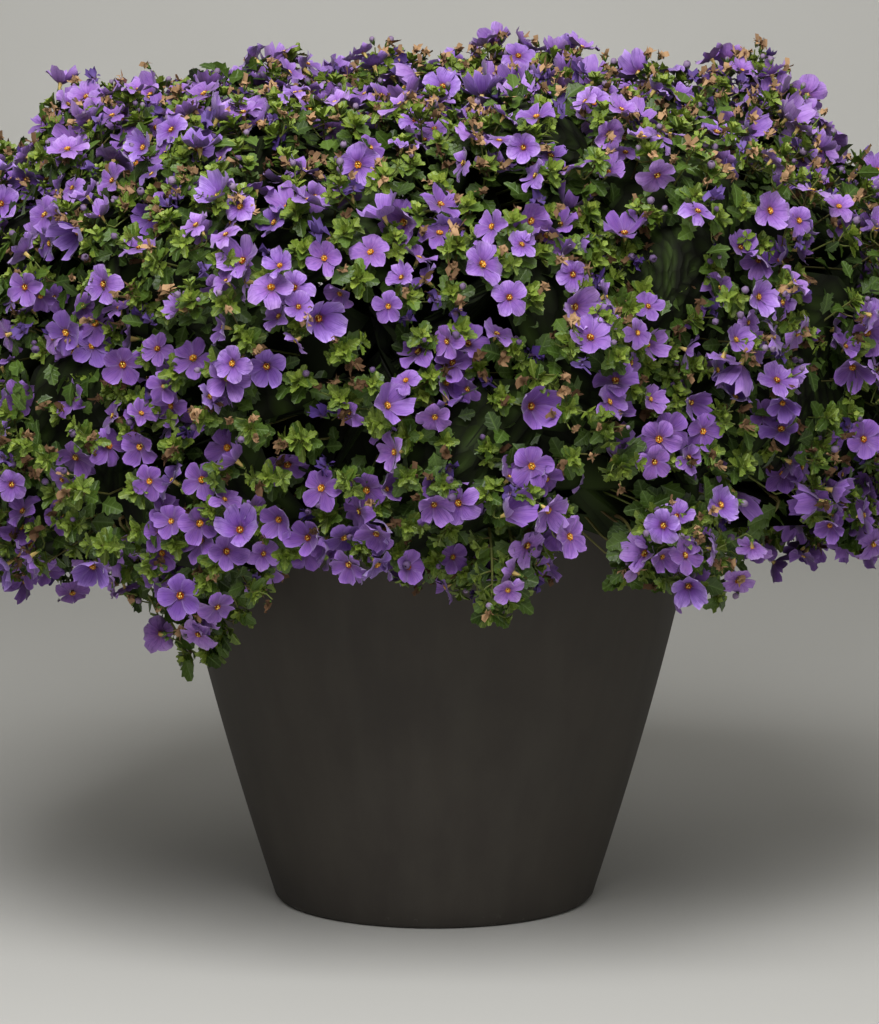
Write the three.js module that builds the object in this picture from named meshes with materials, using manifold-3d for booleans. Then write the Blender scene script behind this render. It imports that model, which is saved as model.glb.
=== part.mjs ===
// A potted bacopa: a plain tapered pot, its potting soil, and a dense mound of flowering sprays.
// Units are millimetres and +Z is up. The origin is the middle of the pot's flat underside.
// The plant's front faces -Y. A tilt is an angle from +Z, and a turn is an angle about +Z from +X.

import * as THREE from "three";
import { mergeVertices } from "three/addons/utils/BufferGeometryUtils.js";
import Module from "manifold-3d";

const wasm = await Module();
wasm.setup();

// Pot
const POT_HEIGHT = 250;
const POT_RIM_RADIUS = 150;
const POT_FOOT_RADIUS = 88.5;
const POT_SWELL = 1.3; // 1 is a straight cone, and more makes the side bow outwards
const POT_WALL = 3;
const POT_FLOOR = 5;
const POT_FOOT_BEVEL = 3;
const POT_SIDES = 36;
const POT_OUTER_STEPS = 6;
const POT_INNER_STEPS = 3;
const DRAIN_HOLES = 4;
const DRAIN_HOLE_RADIUS = 6;
const DRAIN_HOLE_CIRCLE = 50;
const DRAIN_HOLE_SIDES = 6;

// Soil, with a hole for each stem
const CLEARANCE = 0.3; // between touching neighbours
const SOIL_TOP = 236;
const SOIL_HOLE_DEPTH = 26;
const SOIL_HOLE_RADIUS = 4.6;
const SOIL_HOLE_SIDES = 5;
const PLANTED_RADIUS = 122; // the outermost stems stand this far from the middle

// Mound: a rounded-off box turned about Z, seen from its middle, with a level lower edge
const MOUND_MIDDLE = new THREE.Vector3(0, 0, 300);
const MOUND_HALF_WIDTH = 281;
const MOUND_HALF_HEIGHT = 167;
const MOUND_SQUARENESS = 3; // 2 is an ellipsoid
const MOUND_LEAN = 8; // it reaches this much further to the left, and less to the right
const LUMP_HEIGHT = 6;
const LUMP_WAVES = [
  { aroundTurns: 3, downTilts: 5, start: 0 },
  { aroundTurns: 5, downTilts: -7, start: 1 },
];
const SLOPE_STEP = 0.03; // radians, over which the surface's slope is taken
const AREA_BANDS = 240; // over which the surface's area is summed
const EDGE_HEIGHT = 184; // of the lower edge, mean over all sides
const EDGE_RISE_RIGHT = 8;
const EDGE_RISE_FRONT = 10;
const GAP_LEFT = 85; // between these two, at the front, the foliage leaves the pot's wall bare
const GAP_RIGHT = 115;
const GAP_SPAN = 130; // hanging sprays that start this near the gap's middle stay out of it

// Sprays
const SPRAYS = 32;
const LOWEST_SPRAY_TILT = 1.92;
const LOWEST_BLADE_TILT = 2.06;
const HANGING_TILT = 1.6; // sprays beyond this tilt pass over the pot's rim
const GOLDEN_TURN = Math.PI * (3 - Math.sqrt(5));
const FIRST_TURN = 0.6;
const CELL_MARGIN = 0.35; // from a spray to the wall between it and its neighbour
const HALVINGS = 14; // to find how far a spray's cell reaches
const POT_KEEP_OFF = 158; // hanging sprays stay this far out, along their own direction

// Stem
const STEM_RADIUS = 2.3;
const STEM_SIDES = 4;
const STEM_STEPS = 4;
const STEM_RISE = 0.4; // of the way to its head, straight up out of the soil
const STEM_FLARE = 1.1; // the stem arrives at this many times its spray's tilt
const STEM_HEAD_TILT = 1.76; // at most, so that it clears the rim

// The tangle of twigs inside a spray, which the leaves and blooms stand out of
const TANGLE_DEPTH = 30; // under the mound's surface
const TANGLE_INNER_SHARE = 0.6; // of the mound's radius
const TANGLE_HEART_SHARE = 0.76;
const TANGLE_SIDES = 8;
const TANGLE_RUFFLE = 9;
const TANGLE_WIDEST = 0.5; // radians off the spray's own direction
const TANGLE_RINGS = [
  { share: 0.84, reach: 0.94 },
  { share: 1, reach: 0.74 },
];

// Leaves and blooms, larger than life because there are fewer of them
const BLADES = 270; // leaves and blooms in all
const ROOT_DEPTH = 5; // sunk into the tangle
const BLADE_TRIES = 16; // to bend one clear of the cell's walls
const BLADE_SHRINK = 0.88; // after every few tries
const TRIES_PER_SHRINK = 4;
const LEAF_LENGTH = 50;
const LEAF_HALF_WIDTH = 19;
const LEAF_THICKNESS = 1.8;
const LEAF_TEETH = 2; // on each side, and the tip
const LEAF_TOOTH_DEPTH = 0.26;
const LEAF_PLAIN_SHARE = 0.4; // of its length, from the root to the first tooth
const LEAF_TOOTHED_SHARE = 0.54;
const LEAF_NOTCH_SHARE = 0.45; // of the way from one tooth to the next
const LEAF_SHOULDER = 0.85; // under 1, it is widest nearer the root
const LEAF_FULLNESS = 0.8; // under 1, the outline is rounder
const LEAF_CUP = 0.12;
const LEAF_LIFT = -0.06; // radians above the mound's surface
const LEAF_AIMS = 10; // directions that a leaf tries, to find the one with most room
const LEAF_STALK = 8; // its base is this far above the tangle
const LEAF_UNDERCUT = 0.1; // its root is at most this share of its length under the blade
const BLOOM_RADIUS = 25;
const BLOOM_DEPTH = 5; // of its middle under the mound's surface, at most
const BLOOM_NOTCH_SHARE = 0.28;
const BLOOM_CUP = 3.5;
const BLOOM_THICKNESS = 2.4;
const BLOOM_OUT = 0.5; // how much it turns straight out of its spray
const BLOOM_LEAN = 0.35; // how much it turns up to the light
const BLOOM_SWAY = 0.25; // how much it turns any other way
const PETALS = 5;
const PETAL_HALF_ANGLE = 0.46;

// Buds on stalks, at true size
const BUDS = 12;
const BUD_RADIUS = 3.2;
const BUD_STALK_RADIUS = 1;
const BUD_SIDES = 4;

// Stems that hang below the mound's edge: their turn, the height of their tip and its reach
const TRAILS = [
  { turn: 3.83, tip: 148, reach: 186 },
  { turn: 5.68, tip: 178, reach: 190 },
  { turn: 0.9, tip: 168, reach: 192 },
  { turn: 2.4, tip: 162, reach: 190 },
];
const TRAIL_START_TILT = 1.86;
const TRAIL_START_DEPTH = 48;
const TRAIL_RADIUS = 1.6;
const TRAIL_LEAF_SCALE = 0.6;
const TRAIL_LEAF_PAIRS = 2;
const TRAIL_BLOOM_SCALE = 0.66;
const TRAIL_TRIES = 12;
const TRAIL_TURN_SHARE = 0.25; // of the way back to its spray, at each try
const TRAIL_FIRST_LEAVES = 0.5; // of the way along the stem
const TRAIL_LEAVES_SPAN = 0.4;
const TRAIL_SHOULDER = 16; // it bows out this far past its tip

const UP = new THREE.Vector3(0, 0, 1);
const FULL_TURN = 2 * Math.PI;
const WELD = 1e-4; // points nearer than this are one
const NEARLY_UPRIGHT = 0.01;

const finishes = {
  pot: new THREE.MeshStandardMaterial({ color: 0x34302a, roughness: 0.75, metalness: 0 }),
  soil: new THREE.MeshStandardMaterial({ color: 0x2a1d14, roughness: 0.95, metalness: 0 }),
  spray: new THREE.MeshStandardMaterial({ color: 0x4d7a2e, roughness: 0.6, metalness: 0 }),
};

// A repeatable draw from 0 to 1, from two whole numbers.
function draw(item, choice) {
  const mixed = Math.imul(item + 1, 73856093) ^ Math.imul(choice + 7, 19349663);
  const stirred = Math.imul(mixed ^ (mixed >>> 15), 2246822519);
  return ((stirred ^ (stirred >>> 13)) >>> 0) / 4294967296;
}

// Solids

function solidFrom({ points, triangles }) {
  const vertProperties = new Float32Array(points.flatMap((p) => [p.x, p.y, p.z]));
  const triVerts = new Uint32Array(triangles.flat());
  return new wasm.Manifold(new wasm.Mesh({ numProp: 3, vertProperties, triVerts }));
}

function solidFromGeometry(geometry) {
  geometry.deleteAttribute("normal");
  geometry.deleteAttribute("uv");
  const merged = mergeVertices(geometry, WELD);
  const place = merged.getAttribute("position");
  const points = [];
  for (let i = 0; i < place.count; i += 1) {
    points.push(new THREE.Vector3().fromBufferAttribute(place, i));
  }
  const triangles = [];
  const corners = merged.index.array;
  for (let i = 0; i < corners.length; i += 3) {
    const [a, b, c] = corners.slice(i, i + 3);
    if (a !== b && b !== c && c !== a) {
      triangles.push([a, b, c]);
    }
  }
  return solidFrom({ points, triangles });
}

function geometryFrom(solid) {
  const { vertProperties, triVerts } = solid.getMesh();
  const geometry = new THREE.BufferGeometry();
  geometry.setAttribute("position", new THREE.BufferAttribute(vertProperties, 3));
  geometry.setIndex(new THREE.BufferAttribute(triVerts, 1));
  return geometry;
}

// Joins solids into one body. A hollow sealed inside it is filled, and a loose scrap is dropped.
function fuse(solids) {
  const joined = solids.reduce((whole, next) => whole.add(next));
  return joined.decompose().reduce((best, next) => (next.volume() > best.volume() ? next : best));
}

// A round turned shape from its profile of [radius, height] pairs.
function turned(profile, sides) {
  const points = profile.map(([radius, height]) => new THREE.Vector2(radius, height));
  const lathe = new THREE.LatheGeometry(points, sides);
  lathe.rotateX(Math.PI / 2);
  return solidFromGeometry(lathe);
}

function peg(radius, low, high, sides) {
  return turned([[0, low], [radius, low], [radius, high], [0, high]], sides);
}

// A stem along a curve, with flat ends.
function tube(knots, radius, steps) {
  const section = new THREE.Shape();
  for (let i = 0; i < STEM_SIDES; i += 1) {
    const angle = (i / STEM_SIDES) * FULL_TURN;
    const corner = [radius * Math.cos(angle), radius * Math.sin(angle)];
    if (i === 0) {
      section.moveTo(...corner);
    } else {
      section.lineTo(...corner);
    }
  }
  section.closePath();
  const extrudePath = new THREE.CatmullRomCurve3(knots);
  return solidFromGeometry(new THREE.ExtrudeGeometry(section, { extrudePath, steps }));
}

// Pot and soil

function potRadius(height) {
  const left = 1 - height / POT_HEIGHT;
  return POT_FOOT_RADIUS + (POT_RIM_RADIUS - POT_FOOT_RADIUS) * (1 - left ** POT_SWELL);
}

function sideProfile(low, steps, inset) {
  const profile = [];
  for (let i = 0; i <= steps; i += 1) {
    const height = low + ((POT_HEIGHT - low) * i) / steps;
    profile.push([potRadius(height) - inset, height]);
  }
  return profile;
}

function makePot() {
  const outside = sideProfile(POT_FOOT_BEVEL, POT_OUTER_STEPS, 0);
  const inside = sideProfile(POT_FLOOR, POT_INNER_STEPS, POT_WALL).reverse();
  const foot = [[0, 0], [potRadius(0) - POT_FOOT_BEVEL, 0]];
  let pot = turned([...foot, ...outside, ...inside, [0, POT_FLOOR]], POT_SIDES);
  for (let i = 0; i < DRAIN_HOLES; i += 1) {
    const turn = ((i + 0.5) / DRAIN_HOLES) * FULL_TURN;
    const hole = peg(DRAIN_HOLE_RADIUS, -1, POT_FLOOR + 1, DRAIN_HOLE_SIDES);
    const x = DRAIN_HOLE_CIRCLE * Math.cos(turn);
    const y = DRAIN_HOLE_CIRCLE * Math.sin(turn);
    pot = pot.subtract(hole.translate([x, y, 0]));
  }
  return pot;
}

function makeSoil(sprays) {
  const side = sideProfile(POT_FLOOR, POT_INNER_STEPS, POT_WALL + CLEARANCE);
  let soil = turned([[0, POT_FLOOR], ...side, [0, POT_HEIGHT]], POT_SIDES);
  soil = soil.intersect(peg(2 * POT_RIM_RADIUS, POT_FLOOR + CLEARANCE, SOIL_TOP, POT_SIDES));
  for (const { foot } of sprays) {
    const hole = peg(SOIL_HOLE_RADIUS, SOIL_TOP - SOIL_HOLE_DEPTH, SOIL_TOP + 1, SOIL_HOLE_SIDES);
    soil = soil.subtract(hole.translate([foot.x, foot.y, 0]));
  }
  return soil;
}

// Mound surface, as directions from the mound's middle

function direction(tilt, turn) {
  const flat = Math.sin(tilt);
  return new THREE.Vector3(flat * Math.cos(turn), flat * Math.sin(turn), Math.cos(tilt));
}

function tiltOf(way) {
  return Math.acos(THREE.MathUtils.clamp(way.z, -1, 1));
}

function turnOf(way) {
  return Math.atan2(way.y, way.x);
}

function edgeHeight(turn) {
  return EDGE_HEIGHT + EDGE_RISE_RIGHT * Math.cos(turn) - EDGE_RISE_FRONT * Math.sin(turn);
}

// How far the mound's surface is from its middle.
function moundRadius(way) {
  const tilt = tiltOf(way);
  const turn = turnOf(way);
  const width = MOUND_HALF_WIDTH - MOUND_LEAN * Math.cos(turn);
  const across = (Math.sin(tilt) / width) ** MOUND_SQUARENESS;
  const along = (Math.abs(Math.cos(tilt)) / MOUND_HALF_HEIGHT) ** MOUND_SQUARENESS;
  let radius = (across + along) ** (-1 / MOUND_SQUARENESS);
  for (const { aroundTurns, downTilts, start } of LUMP_WAVES) {
    const phase = aroundTurns * turn + downTilts * tilt + start;
    radius += LUMP_HEIGHT * Math.sin(phase) * Math.sin(tilt);
  }
  if (way.z >= 0) {
    return radius;
  }
  return Math.min(radius, (MOUND_MIDDLE.z - edgeHeight(turn)) / -way.z);
}

function pointAt(way, radius) {
  return MOUND_MIDDLE.clone().addScaledVector(way, radius);
}

function surfacePoint(way, depth) {
  return pointAt(way, moundRadius(way) - depth);
}

// The outward direction square to the mound's surface.
function surfaceNormal(way) {
  const tilt = Math.max(tiltOf(way), 2 * SLOPE_STEP);
  const turn = turnOf(way);
  const lower = surfacePoint(direction(tilt + SLOPE_STEP, turn), 0);
  const upper = surfacePoint(direction(tilt - SLOPE_STEP, turn), 0);
  const ahead = surfacePoint(direction(tilt, turn + SLOPE_STEP), 0);
  const behind = surfacePoint(direction(tilt, turn - SLOPE_STEP), 0);
  return lower.sub(upper).cross(ahead.sub(behind)).normalize();
}

// The tilt above which lies this share of the mound's area, counted down to the lowest tilt.
function tiltAtShare(share, lowest) {
  const step = lowest / AREA_BANDS;
  const areas = [0];
  for (let i = 0; i < AREA_BANDS; i += 1) {
    const upper = surfacePoint(direction(i * step, FULL_TURN / 4), 0);
    const lower = surfacePoint(direction((i + 1) * step, FULL_TURN / 4), 0);
    areas.push(areas[i] + ((upper.y + lower.y) / 2) * upper.distanceTo(lower));
  }
  const wanted = share * areas[AREA_BANDS];
  let band = 0;
  while (areas[band + 1] < wanted) {
    band += 1;
  }
  const part = (wanted - areas[band]) / (areas[band + 1] - areas[band]);
  return (band + part) * step;
}

// Even places over the mound, each a golden turn on from the last and a little lower.
function spread(count, lowest) {
  const ways = [];
  for (let i = 0; i < count; i += 1) {
    const tilt = tiltAtShare((i + 0.5) / count, lowest);
    ways.push(direction(tilt, FIRST_TURN + i * GOLDEN_TURN));
  }
  return ways;
}

// Cells: a spray keeps to the part of the mound that is nearer its direction than any other's

function gapWall(way) {
  const start = surfacePoint(way, 0);
  const aside = start.x - (GAP_LEFT + GAP_RIGHT) / 2;
  if (start.y > 0 || Math.abs(aside) > GAP_SPAN) {
    return [];
  }
  if (aside < 0) {
    return [{ inward: new THREE.Vector3(-1, 0, 0), least: -GAP_LEFT }];
  }
  return [{ inward: new THREE.Vector3(1, 0, 0), least: GAP_RIGHT }];
}

function cellWalls(way, ways) {
  const walls = ways
    .filter((other) => other !== way)
    .map((other) => ({ inward: way.clone().sub(other).normalize(), least: CELL_MARGIN }));
  if (tiltOf(way) > HANGING_TILT) {
    const outward = new THREE.Vector3(way.x, way.y, 0).normalize();
    walls.push({ inward: outward, least: POT_KEEP_OFF }, ...gapWall(way));
  }
  return walls;
}

// The wall that the points are furthest beyond. The shortfall is 0 or less when all are inside.
function worstWall(points, walls) {
  let worst = { shortfall: -Infinity, wall: null };
  for (const point of points) {
    const fromMiddle = point.clone().sub(MOUND_MIDDLE);
    for (const wall of walls) {
      const shortfall = wall.least - fromMiddle.dot(wall.inward);
      if (shortfall > worst.shortfall) {
        worst = { shortfall, wall };
      }
    }
  }
  return worst;
}

// Two directions square to the one given.
function crossways(way) {
  const across = new THREE.Vector3().crossVectors(UP, way);
  if (across.length() < NEARLY_UPRIGHT) {
    across.set(1, 0, 0);
  }
  across.normalize();
  return [across, new THREE.Vector3().crossVectors(way, across)];
}

function leaned(way, angle, around) {
  const [across, along] = crossways(way);
  const aside = across.multiplyScalar(Math.cos(around)).addScaledVector(along, Math.sin(around));
  return way.clone().multiplyScalar(Math.cos(angle)).addScaledVector(aside, Math.sin(angle));
}

function makeSprays() {
  const ways = spread(SPRAYS, LOWEST_SPRAY_TILT);
  return ways.map((way, index) => {
    const out = PLANTED_RADIUS * Math.sqrt(index / (SPRAYS - 1));
    const foot = direction(FULL_TURN / 4, turnOf(way)).multiplyScalar(out).setZ(SOIL_TOP);
    const spray = { index, way, foot, walls: cellWalls(way, ways), blades: [], middles: [] };
    spray.tangle = tangleShape(spray);
    spray.heart = pointAt(way, moundRadius(way) * TANGLE_HEART_SHARE);
    return spray;
  });
}

function ownerOf(way, sprays) {
  return sprays.reduce((best, next) => (next.way.dot(way) > best.way.dot(way) ? next : best));
}

// Tangle and stem

// The widest lean off a spray's direction that keeps a point under the surface in its cell.
function widestLean(spray, around, share) {
  let low = 0;
  let high = TANGLE_WIDEST;
  for (let i = 0; i < HALVINGS; i += 1) {
    const middle = (low + high) / 2;
    const way = leaned(spray.way, middle, around);
    const point = pointAt(way, (moundRadius(way) - TANGLE_DEPTH) * share);
    if (worstWall([point], spray.walls).shortfall < 0) {
      low = middle;
    } else {
      high = middle;
    }
  }
  return low;
}

function stemHead(way) {
  const bent = direction(Math.min(tiltOf(way), STEM_HEAD_TILT), turnOf(way));
  return pointAt(bent, moundRadius(bent) * TANGLE_INNER_SHARE);
}

// A closed lobe that fills the spray's cell from its stem's head to under the mound's surface.
function tangleShape(spray) {
  const points = [stemHead(spray.way)];
  TANGLE_RINGS.forEach(({ share, reach }, level) => {
    for (let i = 0; i < TANGLE_SIDES; i += 1) {
      const around = ((i + level / 2) / TANGLE_SIDES) * FULL_TURN;
      const way = leaned(spray.way, widestLean(spray, around, share) * reach, around);
      const ruffle = TANGLE_RUFFLE * (draw(spray.index * TANGLE_SIDES + i, level) - 0.5);
      points.push(pointAt(way, (moundRadius(way) - TANGLE_DEPTH) * share + ruffle));
    }
  });
  points.push(surfacePoint(spray.way, TANGLE_DEPTH - TANGLE_RUFFLE));
  const crown = points.length - 1;
  const triangles = [];
  for (let i = 0; i < TANGLE_SIDES; i += 1) {
    const next = (i + 1) % TANGLE_SIDES;
    triangles.push([0, 1 + next, 1 + i]);
    for (let level = 1; level < TANGLE_RINGS.length; level += 1) {
      const low = 1 + (level - 1) * TANGLE_SIDES;
      const high = low + TANGLE_SIDES;
      triangles.push([low + i, low + next, high + i], [low + next, high + next, high + i]);
    }
    triangles.push([crown - TANGLE_SIDES + i, crown - TANGLE_SIDES + next, crown]);
  }
  return { points, triangles };
}

// A point sunk into the tangle on the way from its heart to the place given.
function rootUnder(spray, place) {
  const { points, triangles } = spray.tangle;
  const ray = new THREE.Ray(spray.heart, place.clone().sub(spray.heart).normalize());
  const hit = new THREE.Vector3();
  let out = Infinity;
  for (const [a, b, c] of triangles) {
    if (ray.intersectTriangle(points[a], points[b], points[c], false, hit)) {
      out = Math.min(out, hit.distanceTo(spray.heart));
    }
  }
  const reach = Math.min(out, place.distanceTo(spray.heart));
  return ray.at(reach - ROOT_DEPTH, hit);
}

// The stem rises from its hole in the soil, and flares out to the tangle's inner end.
function makeStem(spray) {
  const head = stemHead(spray.way);
  const sill = spray.foot.clone();
  const base = sill.clone().setZ(SOIL_TOP - SOIL_HOLE_DEPTH + CLEARANCE);
  const length = head.distanceTo(sill);
  const rise = sill.clone().addScaledVector(UP, STEM_RISE * length);
  const arrival = direction(STEM_FLARE * tiltOf(spray.way), turnOf(spray.way));
  const settle = head.clone().addScaledVector(arrival, -STEM_RISE * length);
  const bend = new THREE.CubicBezierCurve3(sill, rise, settle, head);
  const buried = head.clone().addScaledVector(arrival, ROOT_DEPTH);
  return tube([base, ...bend.getPoints(STEM_STEPS - 1), buried], STEM_RADIUS, STEM_STEPS);
}

// Leaves and blooms

// A toothed leaf that runs along one direction from its base, with its upper face to another.
// Its stalk is drawn down from the base to the root.
function leafShape(root, base, along, upward, scale) {
  const across = new THREE.Vector3().crossVectors(upward, along).normalize();
  const face = new THREE.Vector3().crossVectors(along, across);
  const place = (forward, aside, lift) => base
    .clone()
    .addScaledVector(along, forward * scale)
    .addScaledVector(across, aside * scale)
    .addScaledVector(face, lift * scale);
  const margin = (share, side, reach) => {
    const half = LEAF_HALF_WIDTH * Math.sin(Math.PI * share ** LEAF_SHOULDER) ** LEAF_FULLNESS;
    return place(LEAF_LENGTH * share, side * half * reach, LEAF_CUP * half);
  };
  const toothSpan = LEAF_TOOTHED_SHARE / LEAF_TEETH;
  const edge = (side) => {
    const points = [];
    for (let tooth = 0; tooth < LEAF_TEETH; tooth += 1) {
      const share = LEAF_PLAIN_SHARE + toothSpan * tooth;
      points.push(margin(share, side, 1));
      points.push(margin(share + toothSpan * LEAF_NOTCH_SHARE, side, 1 - LEAF_TOOTH_DEPTH));
    }
    return points;
  };
  const ring = [root, ...edge(-1), place(LEAF_LENGTH, 0, 0), ...edge(1).reverse()];
  const top = place(LEAF_LENGTH / 2, 0, LEAF_THICKNESS / 2);
  const bottom = place(LEAF_LENGTH / 2, 0, -LEAF_THICKNESS / 2);
  const triangles = [];
  for (let i = 0; i < ring.length; i += 1) {
    const next = (i + 1) % ring.length;
    triangles.push([i, next, ring.length], [next, i, ring.length + 1]);
  }
  return { points: [...ring, top, bottom], triangles };
}

// A bloom of separate petals round its throat, on a tube that narrows to a point at its root.
function bloomShape(middle, facing, root, spin, scale) {
  const [across, along] = crossways(facing);
  const place = (radius, angle, lift) => middle
    .clone()
    .addScaledVector(across, radius * Math.cos(angle) * scale)
    .addScaledVector(along, radius * Math.sin(angle) * scale)
    .addScaledVector(facing, lift * scale);
  const points = [];
  for (let petal = 0; petal < PETALS; petal += 1) {
    const angle = spin + (petal / PETALS) * FULL_TURN;
    const notch = BLOOM_RADIUS * BLOOM_NOTCH_SHARE;
    points.push(place(notch, angle - FULL_TURN / PETALS / 2, -BLOOM_THICKNESS));
    points.push(place(BLOOM_RADIUS, angle - PETAL_HALF_ANGLE, BLOOM_CUP));
    points.push(place(BLOOM_RADIUS, angle + PETAL_HALF_ANGLE, BLOOM_CUP));
  }
  const throat = points.length;
  points.push(middle.clone(), root);
  const triangles = [];
  for (let petal = 0; petal < PETALS; petal += 1) {
    const notch = 3 * petal;
    const nextNotch = (notch + 3) % throat;
    const left = notch + 1;
    const right = notch + 2;
    triangles.push([throat, notch, left], [throat, left, right], [throat, right, nextNotch]);
    triangles.push([notch, right, left], [notch, nextNotch, right]);
    triangles.push([nextNotch, notch, throat + 1]);
  }
  return { points, triangles };
}

// Moves a blade's place towards its spray, and then makes it smaller, until no wall cuts it.
function bentClear(spray, way, shapeAt) {
  let place = way.clone();
  let scale = 1;
  for (let attempt = 0; attempt < BLADE_TRIES; attempt += 1) {
    const shape = shapeAt(place, scale);
    const { shortfall, wall } = worstWall(shape.points, spray.walls);
    if (shortfall <= 0) {
      return [shape];
    }
    const moved = place.clone().multiplyScalar(moundRadius(place));
    place = moved.addScaledVector(wall.inward, shortfall + CELL_MARGIN).normalize();
    if ((attempt + 1) % TRIES_PER_SHRINK === 0) {
      scale *= BLADE_SHRINK;
    }
  }
  return [];
}

// How far a place is from the nearest of the blades placed so far.
function roomAt(place, spray) {
  return Math.min(...spray.middles.map((other) => other.distanceTo(place)));
}

function leafOn(spray, way, item) {
  let best = { room: -1, shapes: [] };
  for (let aim = 0; aim < LEAF_AIMS; aim += 1) {
    const around = (draw(item, 1) + aim / LEAF_AIMS) * FULL_TURN;
    let middle = null;
    let undercut = 0;
    const shapes = bentClear(spray, way, (place, scale) => {
      const upward = surfaceNormal(place);
      const along = leaned(upward, FULL_TURN / 4 - LEAF_LIFT, around);
      const base = surfacePoint(place, TANGLE_DEPTH - LEAF_STALK);
      const root = rootUnder(spray, base);
      middle = base.clone().addScaledVector(along, LEAF_LENGTH * scale / 2);
      undercut = root.clone().sub(base).dot(along) / (LEAF_LENGTH * scale);
      return leafShape(root, base, along, upward, scale);
    });
    const room = roomAt(middle, spray);
    if (shapes.length > 0 && undercut < LEAF_UNDERCUT && room > best.room) {
      best = { room, shapes, middle };
    }
  }
  if (best.middle) {
    spray.middles.push(best.middle);
  }
  return best.shapes;
}

function bloomOn(spray, way, item) {
  let middle = null;
  const shapes = bentClear(spray, way, (place, scale) => {
    const facing = surfaceNormal(place).addScaledVector(UP, BLOOM_LEAN);
    facing.addScaledVector(place, BLOOM_OUT);
    const [across, along] = crossways(facing.clone().normalize());
    facing.addScaledVector(across, BLOOM_SWAY * (2 * draw(item, 2) - 1));
    facing.addScaledVector(along, BLOOM_SWAY * (2 * draw(item, 3) - 1)).normalize();
    middle = surfacePoint(place, BLOOM_DEPTH * draw(item, 4) + BLOOM_CUP);
    return bloomShape(middle, facing, rootUnder(spray, middle), draw(item, 5) * FULL_TURN, scale);
  });
  spray.middles.push(middle);
  return shapes;
}

// A round bud on its thin stalk.
function budOn(spray, way) {
  const low = rootUnder(spray, surfacePoint(way, 0));
  const length = low.distanceTo(surfacePoint(way, 0));
  const neck = length - 2 * BUD_RADIUS;
  const profile = [
    [0, 0],
    [BUD_STALK_RADIUS, 0],
    [BUD_STALK_RADIUS, neck],
    [BUD_RADIUS, length - BUD_RADIUS],
    [0, length],
  ];
  const upright = turned(profile, BUD_SIDES);
  const turn = new THREE.Quaternion().setFromUnitVectors(UP, surfaceNormal(way));
  const place = new THREE.Matrix4().compose(low, turn, new THREE.Vector3(1, 1, 1));
  return upright.transform(place.elements);
}

function addBlades(sprays) {
  const places = spread(BLADES, LOWEST_BLADE_TILT).map((way, item) => ({ way, item }));
  const add = (shapesOn) => ({ way, item }) => {
    const spray = ownerOf(way, sprays);
    spray.blades.push(...shapesOn(spray, way, item).map(solidFrom));
  };
  places.filter(({ item }) => item % 2 === 0).forEach(add(bloomOn));
  places.filter(({ item }) => item % 2 === 1).forEach(add(leafOn));
}

// Trailing stems

function trailKnots(turn, tip, reach) {
  const start = surfacePoint(direction(TRAIL_START_TILT, turn), TRAIL_START_DEPTH);
  const out = (radius, height) => direction(FULL_TURN / 4, turn).multiplyScalar(radius).setZ(height);
  const shoulder = out(reach + TRAIL_SHOULDER, (start.z + tip) / 2);
  return [start, shoulder, out(reach, tip)];
}

// The trail's knots, turned towards its spray until they keep to its cell.
function settledTrail(spray, { turn, tip, reach }) {
  let settled = turn;
  const home = turnOf(spray.way);
  for (let attempt = 0; attempt < TRAIL_TRIES; attempt += 1) {
    const knots = trailKnots(settled, tip, reach);
    if (worstWall(knots, spray.walls).shortfall < -BLOOM_RADIUS * TRAIL_BLOOM_SCALE) {
      return knots;
    }
    const aside = THREE.MathUtils.euclideanModulo(home - settled + Math.PI, FULL_TURN) - Math.PI;
    settled += aside * TRAIL_TURN_SHARE;
  }
  return trailKnots(settled, tip, reach);
}

function addTrail(trail, sprays) {
  const spray = ownerOf(direction(LOWEST_BLADE_TILT, trail.turn), sprays);
  const knots = settledTrail(spray, trail);
  spray.blades.push(tube(knots, TRAIL_RADIUS, STEM_STEPS - 1));
  const path = new THREE.CatmullRomCurve3(knots);
  const shapes = [];
  for (let pair = 0; pair < TRAIL_LEAF_PAIRS; pair += 1) {
    const share = TRAIL_FIRST_LEAVES + (TRAIL_LEAVES_SPAN * pair) / TRAIL_LEAF_PAIRS;
    const root = path.getPointAt(share);
    const down = path.getTangentAt(share);
    const outward = root.clone().setZ(0).normalize();
    const across = new THREE.Vector3().crossVectors(down, outward).normalize();
    for (const side of [-1, 1]) {
      const along = across.clone().multiplyScalar(side).add(down).add(outward).normalize();
      shapes.push(leafShape(root, root, along, outward, TRAIL_LEAF_SCALE));
    }
  }
  const end = knots[knots.length - 1];
  const facing = end.clone().setZ(0).normalize().multiplyScalar(2).sub(UP).normalize();
  const middle = end.clone().addScaledVector(facing, BLOOM_RADIUS * TRAIL_BLOOM_SCALE / 2);
  const root = end.clone().addScaledVector(facing, -TRAIL_RADIUS).addScaledVector(UP, 2);
  shapes.push(bloomShape(middle, facing, root, 0, TRAIL_BLOOM_SCALE));
  const inside = shapes.filter((shape) => worstWall(shape.points, spray.walls).shortfall <= 0);
  spray.blades.push(...inside.map(solidFrom));
}

// Whole plant

function finished(solid, name, finish) {
  const mesh = new THREE.Mesh(geometryFrom(solid), finish);
  mesh.name = name;
  return mesh;
}

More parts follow.
